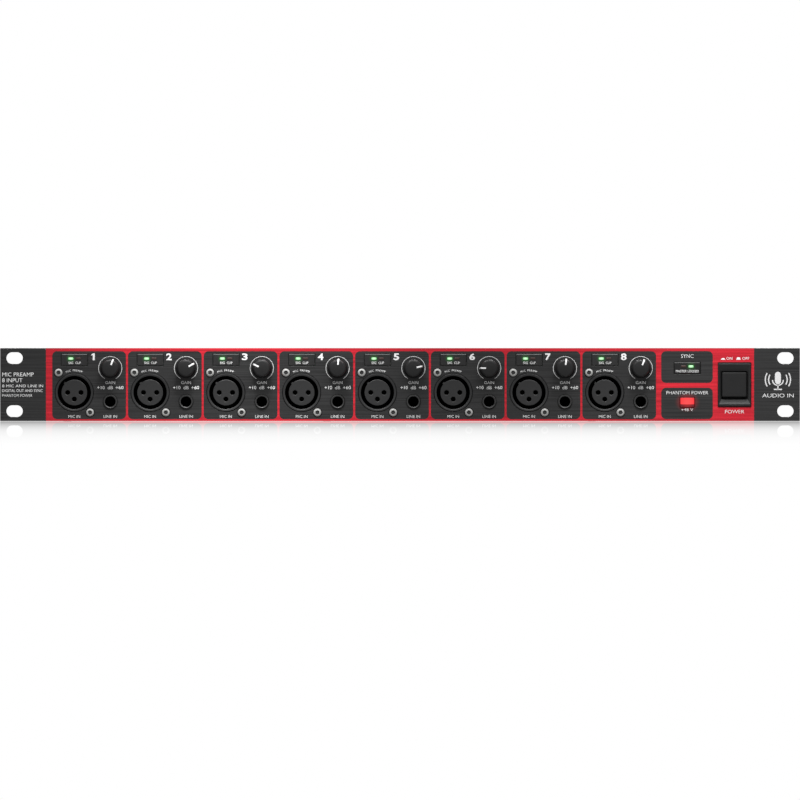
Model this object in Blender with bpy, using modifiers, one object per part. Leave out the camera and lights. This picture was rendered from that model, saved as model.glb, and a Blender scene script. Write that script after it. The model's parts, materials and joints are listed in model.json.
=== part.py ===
"""Rack-mount microphone preamp with eight channels, one rack unit high, as an assembly of its real pieces.

The front faces -Y, and +X is to the right of someone facing it. Dimensions are in millimetres, and the
functions that make geometry turn them into metres. A depth is measured from the front panel's face towards
the rear, so a piece that stands out of the panel has a negative depth. Z is measured from the ground.
"""

import math

import bmesh
import bpy
from mathutils import Matrix, Vector

MM = 0.001
GAP = 0.3  # free space kept between neighbouring pieces

# Case
PANEL_WIDTH = 482.6
PANEL_HEIGHT = 44.0
PANEL_THICKNESS = 2.5
PANEL_RELIEF = 0.3  # the panel's back is set in by this much between the rack ears
EAR_INNER_X = 220.0
CASE_DEPTH = 204.0
CASE_WIDTH = 438.0
SHEET = 1.0
CASE_FLOOR_Z = 0.5
CASE_TOP_Z = 43.5
BEND_RADIUS = 1.5
TRAY_FRONT_FLANGES = (7.0, 4.0)  # their widths at the left and right ends
TRAY_LIP = 0.6
SEAM = 0.4  # free space between the tray and the cover
STANDOFF_X = (-205.0, -45.0, 118.0)
STANDOFF_DEPTHS = (45.0, 172.0)
STANDOFF_RADIUS = 3.0

# Slots in the cover
VENT_FIELDS = (-188.0, 134.0)  # first slot of each field on top
VENT_PITCH = 6.0
VENT_COUNT = 12
VENT_WIDTH = 2.6
VENT_DEPTH = (104.0, 164.0)
SIDE_VENT_DEPTH = 100.0
SIDE_VENT_PITCH = 8.0
SIDE_VENT_COUNT = 8
SIDE_VENT_Z = (12.0, 32.0)

# How far the knobs and the clock socket stand out in front and behind. The frame's origin is in the middle.
KNOB_REACH = 12.0
CLOCK_REACH = 11.0
FACE_Y = KNOB_REACH - (KNOB_REACH + CASE_DEPTH + CLOCK_REACH) / 2

# Rack slots, to the 19-inch rack standard
SLOT_SPACING_X = 465.1
SLOT_SPACING_Z = 31.75
SLOT_LENGTH = 10.4
SLOT_HEIGHT = 7.0

# Channels: each knob, line socket, mic socket and meter window repeats at this pitch
CHANNELS = 8
CHANNEL_PITCH = 45.72
FIRST_CHANNEL_X = -187.6
MIC_X, MIC_Z = -8.9, 17.2
KNOB_X, KNOB_Z = 12.8, 31.9
LINE_X, LINE_Z = 12.8, 11.7
METER_X, METER_Z = -8.8, 37.2

# Connectors
MIC_RADIUS = 11.5
MIC_GROOVE = (7.85, 10.0)  # radii of the ring gap that a plug's shell enters
MIC_GROOVE_DEPTH = 15.0
MIC_RIM_REACH = 0.5
MIC_INSERT_DEPTH = 0.4
MIC_FLANGE = (24.4, 29.2)
CONTACT_OFFSET = 4.0
CONTACT_HOLE_RADIUS = 1.4
SCREW_OFFSET_X, SCREW_OFFSET_Z = 9.5, 12.0
SCREW_HOLE_RADIUS = 1.7
FLANGE_THICKNESS = 2.2
LINE_BORE_RADIUS = 3.2
LINE_BUSH_RADIUS = 4.2
LINE_BUSH_REACH = 1.5
SOCKET_BACK = 33.1  # depth of the rear face of every front socket
LINE_BODY = (14.0, 14.0)

# Gain controls
KNOB_RADIUS = 6.0
KNOB_TOP_RADIUS = 4.9
KNOB_LIFT = 0.8
POINTER_WIDTH = 1.1
POINTER_SPAN = (2.2, 5.4)  # distances from the knob's axis
POINTER_RISE = 0.3
POINTER_HEIGHT = 3.0
KNOB_RECESS = (4.6, 4.0)
SPINDLE_RADIUS = 2.0
SPINDLE_DEPTH = 8.5
POT_BORE_RADIUS = 2.4
POT_BUSH_RADIUS = 3.5
POT_BUSH_REACH = 3.0
POT_BODY = (11.0, 11.0, 8.0)
KNOB_ANGLES = (20.0, 60.0, -65.0, 6.0, 78.0, -90.0, 8.0, 22.0)  # clockwise from upright, at rest

# Meter windows: one moulded lens with a pane for each channel and one for the sync lamps
PANE = (16.0, 7.2)
PANE_REACH = 0.4
SYNC_X, SYNC_Z = 173.3, 32.2
RAIL_Z = (38.6, 41.2)
RAIL_DEPTH = (4.0, 5.5)

# Power switch and phantom switch
POWER_X, POWER_Z = 201.9, 22.0
BEZEL_RIM = (20.4, 27.2)
BEZEL_BODY = (19.0, 25.8)
BEZEL_MOUTH = (18.8, 24.6)
BEZEL_WELL = (16.3, 17.8)
BEZEL_RIM_DEPTH = (-1.3, -0.3)
BEZEL_WELL_DEPTH = 3.2
BEZEL_BACK = 13.0
POWER_CAP = (14.7, 14.8)
POWER_CAP_DEPTH = (-0.8, 9.5)
POWER_STEM = 5.0
POWER_STEM_BACK = 22.0
POWER_CASE = (18.0, 20.0)
POWER_CASE_BACK = 32.0
PHANTOM_X, PHANTOM_Z = 173.3, 11.4
PHANTOM_CAP = (8.6, 5.9)
PHANTOM_CAP_DEPTH = (-2.2, 3.0)
PHANTOM_STEM = 3.0
PHANTOM_STEM_BACK = 12.0
PHANTOM_CASE = (10.0, 9.0)
PHANTOM_CASE_FRONT = 6.0
STEM_CLEARANCE = 0.4
STEM_TRAVEL_ROOM = 2.0

# Boards
FRONT_BOARD_DEPTH = (33.4, 35.0)
MAIN_BOARD_Z = (6.0, 7.6)

# Rear wall
REAR = CASE_DEPTH
OUTPUT_PITCH = 30.0
FIRST_OUTPUT_X = -202.5
REAR_Z = 22.0
OUTPUT_FLANGE = (26.0, 31.0, 1.6)
OUTPUT_BARREL_RADIUS = 11.6
OUTPUT_BORE_RADIUS = 9.5
OUTPUT_BORE_DEPTH = 16.0
OUTPUT_BARREL_DEPTH = 22.0
PIN_RADIUS = 1.2
PIN_LENGTH = 13.0
PIN_ROOT = 1.0  # how far a pin reaches into the material behind it
OPTICAL_X = 44.0
OPTICAL_PORT_OFFSET = 6.8
OPTICAL_BODY = (27.0, 13.6)
OPTICAL_FACE = REAR + 1.0
OPTICAL_BODY_DEPTH = 15.0
OPTICAL_MOUTH = 8.6
OPTICAL_WALL = 0.8
OPTICAL_CAVITY_DEPTH = 12.5
OPTICAL_CAVITY_X = 4.9
OPTICAL_CAVITY_Z = (-5.0, 5.9)  # from the ports' centre height
SHUTTER_X = 4.5
SHUTTER_Z = (-4.6, 5.3)
SHUTTER_THICKNESS = 0.8
CLOCK_X = 80.0
CLOCK_NUT_RADIUS = 7.6
CLOCK_NUT_THICKNESS = 2.4
CLOCK_HOLE_RADIUS = 5.3
CLOCK_RADII = (2.3, 4.0, 4.8)  # of the insulator, and of the tube inside and outside
CLOCK_INSULATOR_REACH = 9.0
CLOCK_CAVITY_FLOOR = 1.5
CLOCK_TUBE_BACK = -8.0
CLOCK_BODY = (13.0, 13.0, 14.0)
CLOCK_LUG_DEPTH = (6.8, 8.4)  # behind the rear wall
CLOCK_LUG_WIDTH = 1.6
SYNC_SWITCH_X = 112.0
SYNC_SLOT = (10.4, 3.6)
SYNC_CASE = (16.0, 7.0, 7.0)
SYNC_TRACK_DEPTH = 4.0
SELECTOR_REACH = 2.2
SELECTOR_KNOB = (3.6, 2.8)
SELECTOR_TRAVEL = 6.0
SELECTOR_X = SYNC_SWITCH_X - SELECTOR_TRAVEL / 2
INLET_X = 186.0
INLET_Z = 21.5
INLET_FLANGE = (31.0, 34.0, 2.2)
INLET_BODY = (28.0, 30.4)
INLET_BODY_BACK = 20.0
INLET_CAVITY = (24.0, 16.0)
INLET_CAVITY_Z = 27.2
INLET_CAVITY_DEPTH = 16.0
BLADE = (2.0, 4.0)
BLADE_SPOTS = ((-7.0, -1.0), (7.0, -1.0), (0.0, 3.0))  # from the cavity's centre
BLADE_SET_BACK = 3.0
DRAWER = (22.0, 7.0)
DRAWER_Z = 12.0
DRAWER_DEPTH = 15.0
DRAWER_REACH = 0.6

for old in list(bpy.data.objects):
    bpy.data.objects.remove(old)


def new_collection(name):
    collection = bpy.data.collections.new(name)
    bpy.context.scene.collection.children.link(collection)
    return collection


PARTS = new_collection("microphone_preamp")
CUTTERS = new_collection("cutters")


def material(name, colour, roughness, metallic=0.0):
    made = bpy.data.materials.new(name)
    made.use_nodes = True
    shader = made.node_tree.nodes["Principled BSDF"]
    shader.inputs["Base Color"].default_value = (*colour, 1.0)
    shader.inputs["Roughness"].default_value = roughness
    shader.inputs["Metallic"].default_value = metallic
    return made


PANEL_PAINT = material("panel_paint", (0.035, 0.035, 0.035), 0.45, 0.3)
CASE_PAINT = material("case_paint", (0.02, 0.02, 0.02), 0.55)
BLACK_PLASTIC = material("black_plastic", (0.022, 0.022, 0.022), 0.4)
KNOB_PLASTIC = material("knob_plastic", (0.018, 0.018, 0.018), 0.5)
SMOKED_LENS = material("smoked_lens", (0.03, 0.028, 0.028), 0.15)
RED_BUTTON = material("red_button", (0.9, 0.03, 0.03), 0.3)
NICKEL = material("nickel", (0.7, 0.69, 0.66), 0.25, 1.0)
CIRCUIT_BOARD = material("circuit_board", (0.02, 0.16, 0.06), 0.5)
TRANSFORMER_TAPE = material("transformer_tape", (0.5, 0.38, 0.08), 0.5)


# Geometry. Each helper returns an object that stays out of the render until keep() makes it a part.


def at(x, depth, z):
    """The place in metres of a point given in millimetres."""
    return Vector((x, FACE_Y + depth, z)) * MM


def hidden(obj):
    """Puts an object among the cutters."""
    for collection in list(obj.users_collection):
        collection.objects.unlink(obj)
    CUTTERS.objects.link(obj)
    obj.hide_render = True
    obj.display_type = "WIRE"
    return obj


def from_bmesh(name, bm):
    mesh = bpy.data.meshes.new(name)
    bm.to_mesh(mesh)
    bm.free()
    return hidden(bpy.data.objects.new(name, mesh))


def box(name, x, depth, z):
    """A box between two x values, two depths and two heights, with its origin at its centre."""
    bm = bmesh.new()
    bmesh.ops.create_cube(bm, size=1.0)
    size = Vector((x[1] - x[0], depth[1] - depth[0], z[1] - z[0])) * MM
    bmesh.ops.scale(bm, vec=size, verts=bm.verts)
    obj = from_bmesh(name, bm)
    obj.location = at(sum(x) / 2, sum(depth) / 2, sum(z) / 2)
    return obj


def centred_box(name, x, z, size, depth):
    """A box centred on x and z, with a width and height."""
    width, height = size
    return box(name, (x - width / 2, x + width / 2), depth, (z - height / 2, z + height / 2))


def cylinder(name, x, z, radius, depth, sides):
    """A cylinder along Y between two depths."""
    bm = bmesh.new()
    length = (depth[1] - depth[0]) * MM
    radius *= MM
    bmesh.ops.create_cone(
        bm, cap_ends=True, segments=sides, radius1=radius, radius2=radius, depth=length
    )
    obj = from_bmesh(name, bm)
    obj.location = at(x, sum(depth) / 2, z)
    obj.rotation_euler.x = math.radians(90)
    return obj


def turned(name, profile, place, rotation, sides, closed=False):
    """A turned solid: a profile of (radius, height) in millimetres, spun about the object's own Z axis."""
    mesh = bpy.data.meshes.new(name)
    points = [(radius * MM, 0.0, height * MM) for radius, height in profile]
    edges = [(i, i + 1) for i in range(len(points) - 1)]
    if closed:
        edges.append((len(points) - 1, 0))
    mesh.from_pydata(points, edges, [])
    obj = hidden(bpy.data.objects.new(name, mesh))
    obj.location = place
    obj.rotation_euler = rotation
    screw = obj.modifiers.new("turn", "SCREW")
    screw.steps = screw.render_steps = sides
    screw.use_merge_vertices = True
    screw.merge_threshold = 1e-5
    return obj


FORWARDS = (math.radians(90), 0.0, 0.0)  # turns a solid's own +Z to the front
BACKWARDS = (math.radians(-90), 0.0, 0.0)  # turns a solid's own +Z to the rear


def arc(x, z, radius, start, end, steps):
    """Points on an arc, with its angles in degrees."""
    angles = [math.radians(start + (end - start) * i / steps) for i in range(steps + 1)]
    return [(x + radius * math.cos(a), z + radius * math.sin(a)) for a in angles]


def circle(x, z, radius, sides):
    return arc(x, z, radius, 0, 360, sides)[:-1]


def rectangle(x, z, size):
    width, height = size[0] / 2, size[1] / 2
    low, high = z - height, z + height
    return [(x - width, low), (x + width, low), (x + width, high), (x - width, high)]


def slot(x, z, length, height, steps):
    """A slot along x with round ends."""
    reach, radius = (length - height) / 2, height / 2
    right = arc(x + reach, z, radius, -90, 90, steps)
    return right + arc(x - reach, z, radius, 90, 270, steps)


def plates(name, outlines, depth):
    """A flat plate parallel to the front for each of the outlines, in one mesh."""
    curve = bpy.data.curves.new(name, "CURVE")
    curve.dimensions = "2D"
    curve.fill_mode = "BOTH"
    curve.extrude = (depth[1] - depth[0]) / 2 * MM
    for outline in outlines:
        spline = curve.splines.new("POLY")
        spline.points.add(len(outline) - 1)
        for point, (x, z) in zip(spline.points, outline):
            point.co = (x * MM, z * MM, 0.0, 1.0)
        spline.use_cyclic_u = True
    flat = bpy.data.objects.new(name + "_outline", curve)
    CUTTERS.objects.link(flat)
    flat.location = at(0, sum(depth) / 2, 0)
    flat.rotation_euler = FORWARDS
    return as_mesh(name, flat)


def as_mesh(name, obj):
    """A mesh object of what obj looks like with its modifiers, in place of obj."""
    bpy.context.view_layer.update()
    graph = bpy.context.evaluated_depsgraph_get()
    mesh = bpy.data.meshes.new_from_object(obj.evaluated_get(graph))
    bm = bmesh.new()
    bm.from_mesh(mesh)
    bmesh.ops.remove_doubles(bm, verts=bm.verts, dist=1e-6)
    bm.to_mesh(mesh)
    bm.free()
    mesh.name = name
    made = hidden(bpy.data.objects.new(name, mesh))
    made.matrix_world = obj.matrix_world
    bpy.data.objects.remove(obj)
    return made


def joined(name, pieces):
    """One mesh of pieces that don't touch each other, as a single cutter."""
    bpy.context.view_layer.update()
    bm = bmesh.new()
    for piece in pieces:
        mesh = piece.data.copy()
        mesh.transform(piece.matrix_world)
        bm.from_mesh(mesh)
        bpy.data.objects.remove(piece)
    return from_bmesh(name, bm)


def boolean(obj, operation, others):
    for other in others:
        modifier = obj.modifiers.new(operation.lower(), "BOOLEAN")
        modifier.operation = operation
        modifier.object = other
    return obj


def cut(obj, *others):
    return boolean(obj, "DIFFERENCE", others)


def add(obj, *others):
    return boolean(obj, "UNION", others)


def bevel(obj, width, segments=1, angle=30.0):
    modifier = obj.modifiers.new("edges", "BEVEL")
    modifier.width = width * MM
    modifier.segments = segments
    modifier.limit_method = "ANGLE"
    modifier.angle_limit = math.radians(angle)
    return obj


def keep(obj, name, finish):
    """Makes an object one of the part's pieces."""
    CUTTERS.objects.unlink(obj)
    PARTS.objects.link(obj)
    obj.name = name
    obj.hide_render = False
    obj.display_type = "TEXTURED"
    obj.data.materials.clear()
    obj.data.materials.append(finish)
    if all(modifier.type != "BOOLEAN" for modifier in obj.modifiers):
        obj.data.shade_smooth()
        obj.data.set_sharp_from_angle(angle=math.radians(30))
    return obj


def repeat(obj, name, finish, spots):
    """Keeps obj as the first of several equal pieces. spots are the steps in x from the first."""
    first = as_mesh(name, obj)
    for number, step in enumerate(spots, start=1):
        copy = hidden(bpy.data.objects.new(name, first.data))
        copy.matrix_world = Matrix.Translation((step * MM, 0.0, 0.0)) @ first.matrix_world
        keep(copy, f"{name}_{number}", finish)
    bpy.data.objects.remove(first)


CHANNEL_STEPS = [CHANNEL_PITCH * i for i in range(CHANNELS)]
CHANNEL_CENTRES = [FIRST_CHANNEL_X + step for step in CHANNEL_STEPS]
OUTPUT_STEPS = [OUTPUT_PITCH * i for i in range(CHANNELS)]


def screw_spots(x, z):
    """The two places of a socket's flange screws, at upper left and lower right seen from the front."""
    return [(x - SCREW_OFFSET_X, z + SCREW_OFFSET_Z), (x + SCREW_OFFSET_X, z - SCREW_OFFSET_Z)]


def contact_spots(x, z):
    """The three contacts of a mic socket or line output."""
    return [(x - CONTACT_OFFSET, z), (x + CONTACT_OFFSET, z), (x, z - CONTACT_OFFSET)]


# Case


def rack_slots():
    signs = [(a, b) for a in (-1, 1) for b in (-1, 1)]
    middle = PANEL_HEIGHT / 2
    return [
        slot(a * SLOT_SPACING_X / 2, middle + b * SLOT_SPACING_Z / 2, SLOT_LENGTH, SLOT_HEIGHT, 6)
        for a, b in signs
    ]


def channel_openings(x):
    """Openings in the panel for one channel."""
    window = (PANE[0] + 2 * GAP, PANE[1] + 2 * GAP)
    screws = [circle(sx, sz, SCREW_HOLE_RADIUS, 8) for sx, sz in screw_spots(x + MIC_X, MIC_Z)]
    return screws + [
        circle(x + MIC_X, MIC_Z, MIC_RADIUS + GAP, 24),
        circle(x + KNOB_X, KNOB_Z, POT_BUSH_RADIUS + GAP, 12),
        circle(x + LINE_X, LINE_Z, LINE_BUSH_RADIUS + GAP, 16),
        rectangle(x + METER_X, METER_Z, window),
    ]


def make_front_panel():
    outlines = rack_slots()
    for x in CHANNEL_CENTRES:
        outlines += channel_openings(x)
    outlines.append(rectangle(SYNC_X, SYNC_Z, (PANE[0] + 2 * GAP, PANE[1] + 2 * GAP)))
    outlines.append(rectangle(POWER_X, POWER_Z, (BEZEL_BODY[0] + 2 * GAP, BEZEL_BODY[1] + 2 * GAP)))
    outlines.append(rectangle(PHANTOM_X, PHANTOM_Z, (PHANTOM_CAP[0] + 2 * GAP, PHANTOM_CAP[1] + 2 * GAP)))
    middle = PANEL_HEIGHT / 2
    panel = centred_box("front_panel", 0, middle, (PANEL_WIDTH, PANEL_HEIGHT), (0.0, PANEL_THICKNESS))
    openings = plates("panel_openings", outlines, (-1.0, PANEL_THICKNESS + 1.0))
    relief = box(
        "panel_relief",
        (-EAR_INNER_X, EAR_INNER_X),
        (PANEL_THICKNESS - PANEL_RELIEF, PANEL_THICKNESS + 1.0),
        (-1.0, PANEL_HEIGHT + 1.0),
    )
    keep(cut(panel, relief, openings), "front_panel", PANEL_PAINT)


def rear_openings():
    """Cutters for the rear wall: one for each connector."""
    wall = (REAR - 3.0, REAR + 3.0)
    clear = 2 * GAP
    cutters = [
        cylinder("output_hole", FIRST_OUTPUT_X + step, REAR_Z, OUTPUT_BARREL_RADIUS + GAP, wall, 20)
        for step in OUTPUT_STEPS
    ]
    cutters.append(cylinder("clock_hole", CLOCK_X, REAR_Z, CLOCK_HOLE_RADIUS, wall, 16))
    for name, x, z, size in (
        ("optical_hole", OPTICAL_X, REAR_Z, OPTICAL_BODY),
        ("sync_hole", SYNC_SWITCH_X, REAR_Z, SYNC_SLOT),
        ("inlet_hole", INLET_X, INLET_Z, INLET_BODY),
    ):
        cutters.append(centred_box(name, x, z, (size[0] + clear, size[1] + clear), wall))
    return cutters


def make_chassis_tray():
    """The folded steel tray: floor, sides, rear wall, and a low front lip with a narrow flange at each end."""
    half = CASE_WIDTH / 2 - SHEET - SEAM
    top = CASE_TOP_Z - SHEET - SEAM
    front = PANEL_THICKNESS
    tray = box("chassis_tray", (-half, half), (front, REAR), (CASE_FLOOR_Z, top))
    inside = box(
        "tray_inside",
        (-half + SHEET, half - SHEET),
        (front + SHEET, REAR - SHEET),
        (CASE_FLOOR_Z + SHEET, top + 5.0),
    )
    left, right = TRAY_FRONT_FLANGES
    open_front = box(
        "tray_open_front",
        (-half + left, half - right),
        (front - 3.0, front + 2 * SHEET),
        (CASE_FLOOR_Z + SHEET + TRAY_LIP, top + 5.0),
    )
    bottom = CASE_FLOOR_Z + SHEET / 2
    height = MAIN_BOARD_Z[0] - GAP - bottom
    standoffs = []
    for x in STANDOFF_X:
        for depth in STANDOFF_DEPTHS:
            post = cylinder("standoff", x, 0, STANDOFF_RADIUS, (0.0, height), 8)
            post.rotation_euler = (0.0, 0.0, 0.0)
            post.location = at(x, depth, bottom + height / 2)
            standoffs.append(post)
    cut(tray, inside)
    cut(tray, joined("tray_openings", [open_front] + rear_openings()))
    keep(add(tray, joined("tray_standoffs", standoffs)), "chassis_tray", CASE_PAINT)


def vent_slots():
    """Slots in the cover: a field on top at each end, and a row in each side."""
    through = 3.0
    cutters = []
    for first in VENT_FIELDS:
        for x in (first + VENT_PITCH * i for i in range(VENT_COUNT)):
            across = (CASE_TOP_Z - through, CASE_TOP_Z + through)
            cutters.append(box("top_slot", (x, x + VENT_WIDTH), VENT_DEPTH, across))
    for side in (-CASE_WIDTH / 2, CASE_WIDTH / 2):
        for depth in (SIDE_VENT_DEPTH + SIDE_VENT_PITCH * i for i in range(SIDE_VENT_COUNT)):
            across = (side - through, side + through)
            cutters.append(box("side_slot", across, (depth, depth + VENT_WIDTH), SIDE_VENT_Z))
    return cutters


def make_top_cover():
    """The U-shaped steel lid: a top and two sides that reach down outside the tray's."""
    half = CASE_WIDTH / 2
    bottom = CASE_FLOOR_Z + 0.5
    outer = BEND_RADIUS
    inner = BEND_RADIUS - SHEET
    section = [(-half, bottom)]
    section += arc(-half + outer, CASE_TOP_Z - outer, outer, 180, 90, 3)
    section += arc(half - outer, CASE_TOP_Z - outer, outer, 90, 0, 3)
    section += [(half, bottom), (half - SHEET, bottom)]
    section += arc(half - outer, CASE_TOP_Z - outer, inner, 0, 90, 3)
    section += arc(-half + outer, CASE_TOP_Z - outer, inner, 90, 180, 3)
    section += [(-half + SHEET, bottom)]
    cover = plates("top_cover", [section], (PANEL_THICKNESS + GAP, REAR))
    keep(cut(cover, joined("cover_slots", vent_slots())), "top_cover", CASE_PAINT)


# Front sockets and controls


def make_mic_sockets():
    """Female three-pole sockets. The barrel shows through the panel, and the flange is fixed from behind."""
    x, z = CHANNEL_CENTRES[0] + MIC_X, MIC_Z
    barrel = cylinder("mic_socket", x, z, MIC_RADIUS, (-MIC_RIM_REACH, SOCKET_BACK), 20)
    flange_depth = (PANEL_THICKNESS, PANEL_THICKNESS + FLANGE_THICKNESS)
    flange = centred_box("mic_flange", x, z, MIC_FLANGE, flange_depth)
    inner, outer = MIC_GROOVE
    bottom, lip = -MIC_GROOVE_DEPTH, MIC_RIM_REACH + 1.0
    face = -MIC_INSERT_DEPTH
    groove = [(0.0, lip), (outer, lip), (outer, bottom), (inner, bottom), (inner, face), (0.0, face)]
    hollow = turned("mic_groove", groove, at(x, 0, z), FORWARDS, 20)
    contacts = [
        cylinder("contact_hole", cx, cz, CONTACT_HOLE_RADIUS, (-2.0, 12.0), 8)
        for cx, cz in contact_spots(x, z)
    ]
    add(barrel, flange)
    cut(barrel, hollow, joined("contact_holes", contacts))
    repeat(barrel, "mic_socket", BLACK_PLASTIC, CHANNEL_STEPS)


def make_line_sockets():
    """Quarter-inch jack sockets with a round bush through the panel, open behind the plug's tip."""
    x, z = CHANNEL_CENTRES[0] + LINE_X, LINE_Z
    body = centred_box("line_socket", x, z, LINE_BODY, (PANEL_THICKNESS, SOCKET_BACK))
    bush = cylinder("line_bush", x, z, LINE_BUSH_RADIUS, (-LINE_BUSH_REACH, PANEL_THICKNESS + 2.0), 16)
    bore = cylinder("line_bore", x, z, LINE_BORE_RADIUS, (-LINE_BUSH_REACH - 1.0, SOCKET_BACK + 1.0), 16)
    cut(add(body, bush), bore)
    repeat(body, "line_socket", BLACK_PLASTIC, CHANNEL_STEPS)


def make_gain_pots():
    """A rotary control behind the panel, with the bush that its spindle turns in."""
    x, z = CHANNEL_CENTRES[0] + KNOB_X, KNOB_Z
    back = PANEL_THICKNESS + POT_BODY[2]
    body = centred_box("gain_pot", x, z, POT_BODY[:2], (PANEL_THICKNESS, back))
    bush = cylinder("pot_bush", x, z, POT_BUSH_RADIUS, (-POT_BUSH_REACH, PANEL_THICKNESS + 2.0), 12)
    bore = cylinder("pot_bore", x, z, POT_BORE_RADIUS, (-POT_BUSH_REACH - 1.0, SPINDLE_DEPTH + 0.7), 12)
    cut(add(body, bush), bore)
    repeat(body, "gain_pot", NICKEL, CHANNEL_STEPS)


def make_gain_knobs():
    """Tapered knobs with a raised pointer, each in one with the spindle that turns in its control."""
    recess_radius, recess_height = KNOB_RECESS
    top = KNOB_REACH - POINTER_RISE
    profile = [
        (0.0, top),
        (KNOB_TOP_RADIUS, top),
        (KNOB_RADIUS, KNOB_LIFT),
        (recess_radius, KNOB_LIFT),
        (recess_radius, recess_height),
        (SPINDLE_RADIUS, recess_height),
        (SPINDLE_RADIUS, -SPINDLE_DEPTH),
        (0.0, -SPINDLE_DEPTH),
    ]
    knob = turned("gain_knob", profile, (0.0, 0.0, 0.0), (0.0, 0.0, 0.0), 20)
    pointer = box("pointer", (-POINTER_WIDTH / 2, POINTER_WIDTH / 2), POINTER_SPAN, (0.0, POINTER_HEIGHT))
    pointer.location = Vector((0.0, sum(POINTER_SPAN) / 2, KNOB_REACH - POINTER_HEIGHT / 2)) * MM
    knob = as_mesh("gain_knob", add(knob, pointer))
    for number, (centre, angle) in enumerate(zip(CHANNEL_CENTRES, KNOB_ANGLES), start=1):
        copy = hidden(bpy.data.objects.new("gain_knob", knob.data))
        copy.location = at(centre + KNOB_X, 0, KNOB_Z)
        copy.rotation_euler = (math.radians(90), math.radians(angle), 0.0)
        keep(copy, f"gain_knob_{number}", KNOB_PLASTIC)
    bpy.data.objects.remove(knob)


def make_meter_lens():
    """One smoked moulding: a rail behind the panel that carries a pane for each pair of lamps."""
    pane_depth = (-PANE_REACH, RAIL_DEPTH[1] - 0.2)
    first = CHANNEL_CENTRES[0] + METER_X - PANE[0] / 2 - 1.0
    last = SYNC_X + PANE[0] / 2 - 0.2
    lens = box("meter_lens", (first, last), RAIL_DEPTH, RAIL_Z)
    panes = [
        centred_box("pane", centre + METER_X, METER_Z, PANE, pane_depth) for centre in CHANNEL_CENTRES
    ]
    panes.append(centred_box("sync_pane", SYNC_X, SYNC_Z, PANE, pane_depth))
    drop_bottom = SYNC_Z - PANE[1] / 2 + 0.4
    drop = box("lens_drop", (SYNC_X - 6.0, SYNC_X + 6.0), (4.2, 5.1), (drop_bottom, RAIL_Z[0] + 1.0))
    keep(add(lens, joined("panes", panes), drop), "meter_lens", SMOKED_LENS)


def frustum(name, x, z, front_size, back_size, depth):
    """A block with one rectangle at its front and another at its back."""
    block = centred_box(name, x, z, (1.0, 1.0), depth)
    for vertex in block.data.vertices:
        width, height = back_size if vertex.co.y > 0 else front_size
        vertex.co.x *= width
        vertex.co.z *= height
    return block


def stemmed_button(name, x, z, cap_size, cap_depth, stem_width, stem_back):
    """A button's cap with a square stem behind it."""
    cap = centred_box(name, x, z, cap_size, cap_depth)
    stem = centred_box(name + "_stem", x, z, (stem_width, stem_width), (cap_depth[1] - 1.0, stem_back))
    return add(cap, stem)


def switch_case(name, x, z, size, depth, stem_width, stem_back):
    """A switch's case, open at the front for the button's stem."""
    case = centred_box(name, x, z, size, depth)
    width = stem_width + 2 * STEM_CLEARANCE
    hole = centred_box(name + "_hole", x, z, (width, width), (depth[0] - 1.0, stem_back + STEM_TRAVEL_ROOM))
    return cut(case, hole)


def make_power_switch():
    """A latching switch: the frame, its square button, and the mechanism behind."""
    x, z = POWER_X, POWER_Z
    bezel = centred_box("power_bezel", x, z, BEZEL_RIM, BEZEL_RIM_DEPTH)
    body = centred_box("bezel_body", x, z, BEZEL_BODY, (BEZEL_RIM_DEPTH[1] - 0.5, BEZEL_BACK))
    mouth = frustum("bezel_mouth", x, z, BEZEL_MOUTH, BEZEL_WELL, (BEZEL_RIM_DEPTH[0], BEZEL_WELL_DEPTH))
    opening = centred_box(
        "bezel_opening", x, z, BEZEL_MOUTH, (BEZEL_RIM_DEPTH[0] - 1.0, BEZEL_RIM_DEPTH[0] + 0.05)
    )
    well = centred_box("bezel_well", x, z, BEZEL_WELL, (BEZEL_WELL_DEPTH - 0.1, BEZEL_BACK + 1.0))
    cut(add(bezel, body), opening, mouth, well)
    keep(bezel, "power_bezel", BLACK_PLASTIC)
    button = stemmed_button("power_button", x, z, POWER_CAP, POWER_CAP_DEPTH, POWER_STEM, POWER_STEM_BACK)
    keep(bevel(button, 0.5), "power_button", BLACK_PLASTIC)
    case_depth = (BEZEL_BACK + GAP, POWER_CASE_BACK)
    mechanism = switch_case("power_switch", x, z, POWER_CASE, case_depth, POWER_STEM, POWER_STEM_BACK)
    keep(mechanism, "power_switch", BLACK_PLASTIC)


def make_phantom_switch():
    """The latching phantom-power switch, with a lit cap."""
    x, z = PHANTOM_X, PHANTOM_Z
    stem, back = PHANTOM_STEM, PHANTOM_STEM_BACK
    button = stemmed_button("phantom_button", x, z, PHANTOM_CAP, PHANTOM_CAP_DEPTH, stem, back)
    keep(bevel(button, 0.4), "phantom_button", RED_BUTTON)
    case_depth = (PHANTOM_CASE_FRONT, SOCKET_BACK)
    mechanism = switch_case("phantom_switch", x, z, PHANTOM_CASE, case_depth, stem, back)
    keep(mechanism, "phantom_switch", BLACK_PLASTIC)


# Inside


def make_boards():
    """The upright board behind the front sockets, and the main board on the tray's standoffs."""
    front = box("front_board", (-213.0, 183.0), FRONT_BOARD_DEPTH, (2.4, 40.5))
    keep(front, "front_board", CIRCUIT_BOARD)
    main = box("main_board", (-213.0, 124.0), (36.0, 198.0), MAIN_BOARD_Z)
    keep(main, "main_board", CIRCUIT_BOARD)


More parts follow.
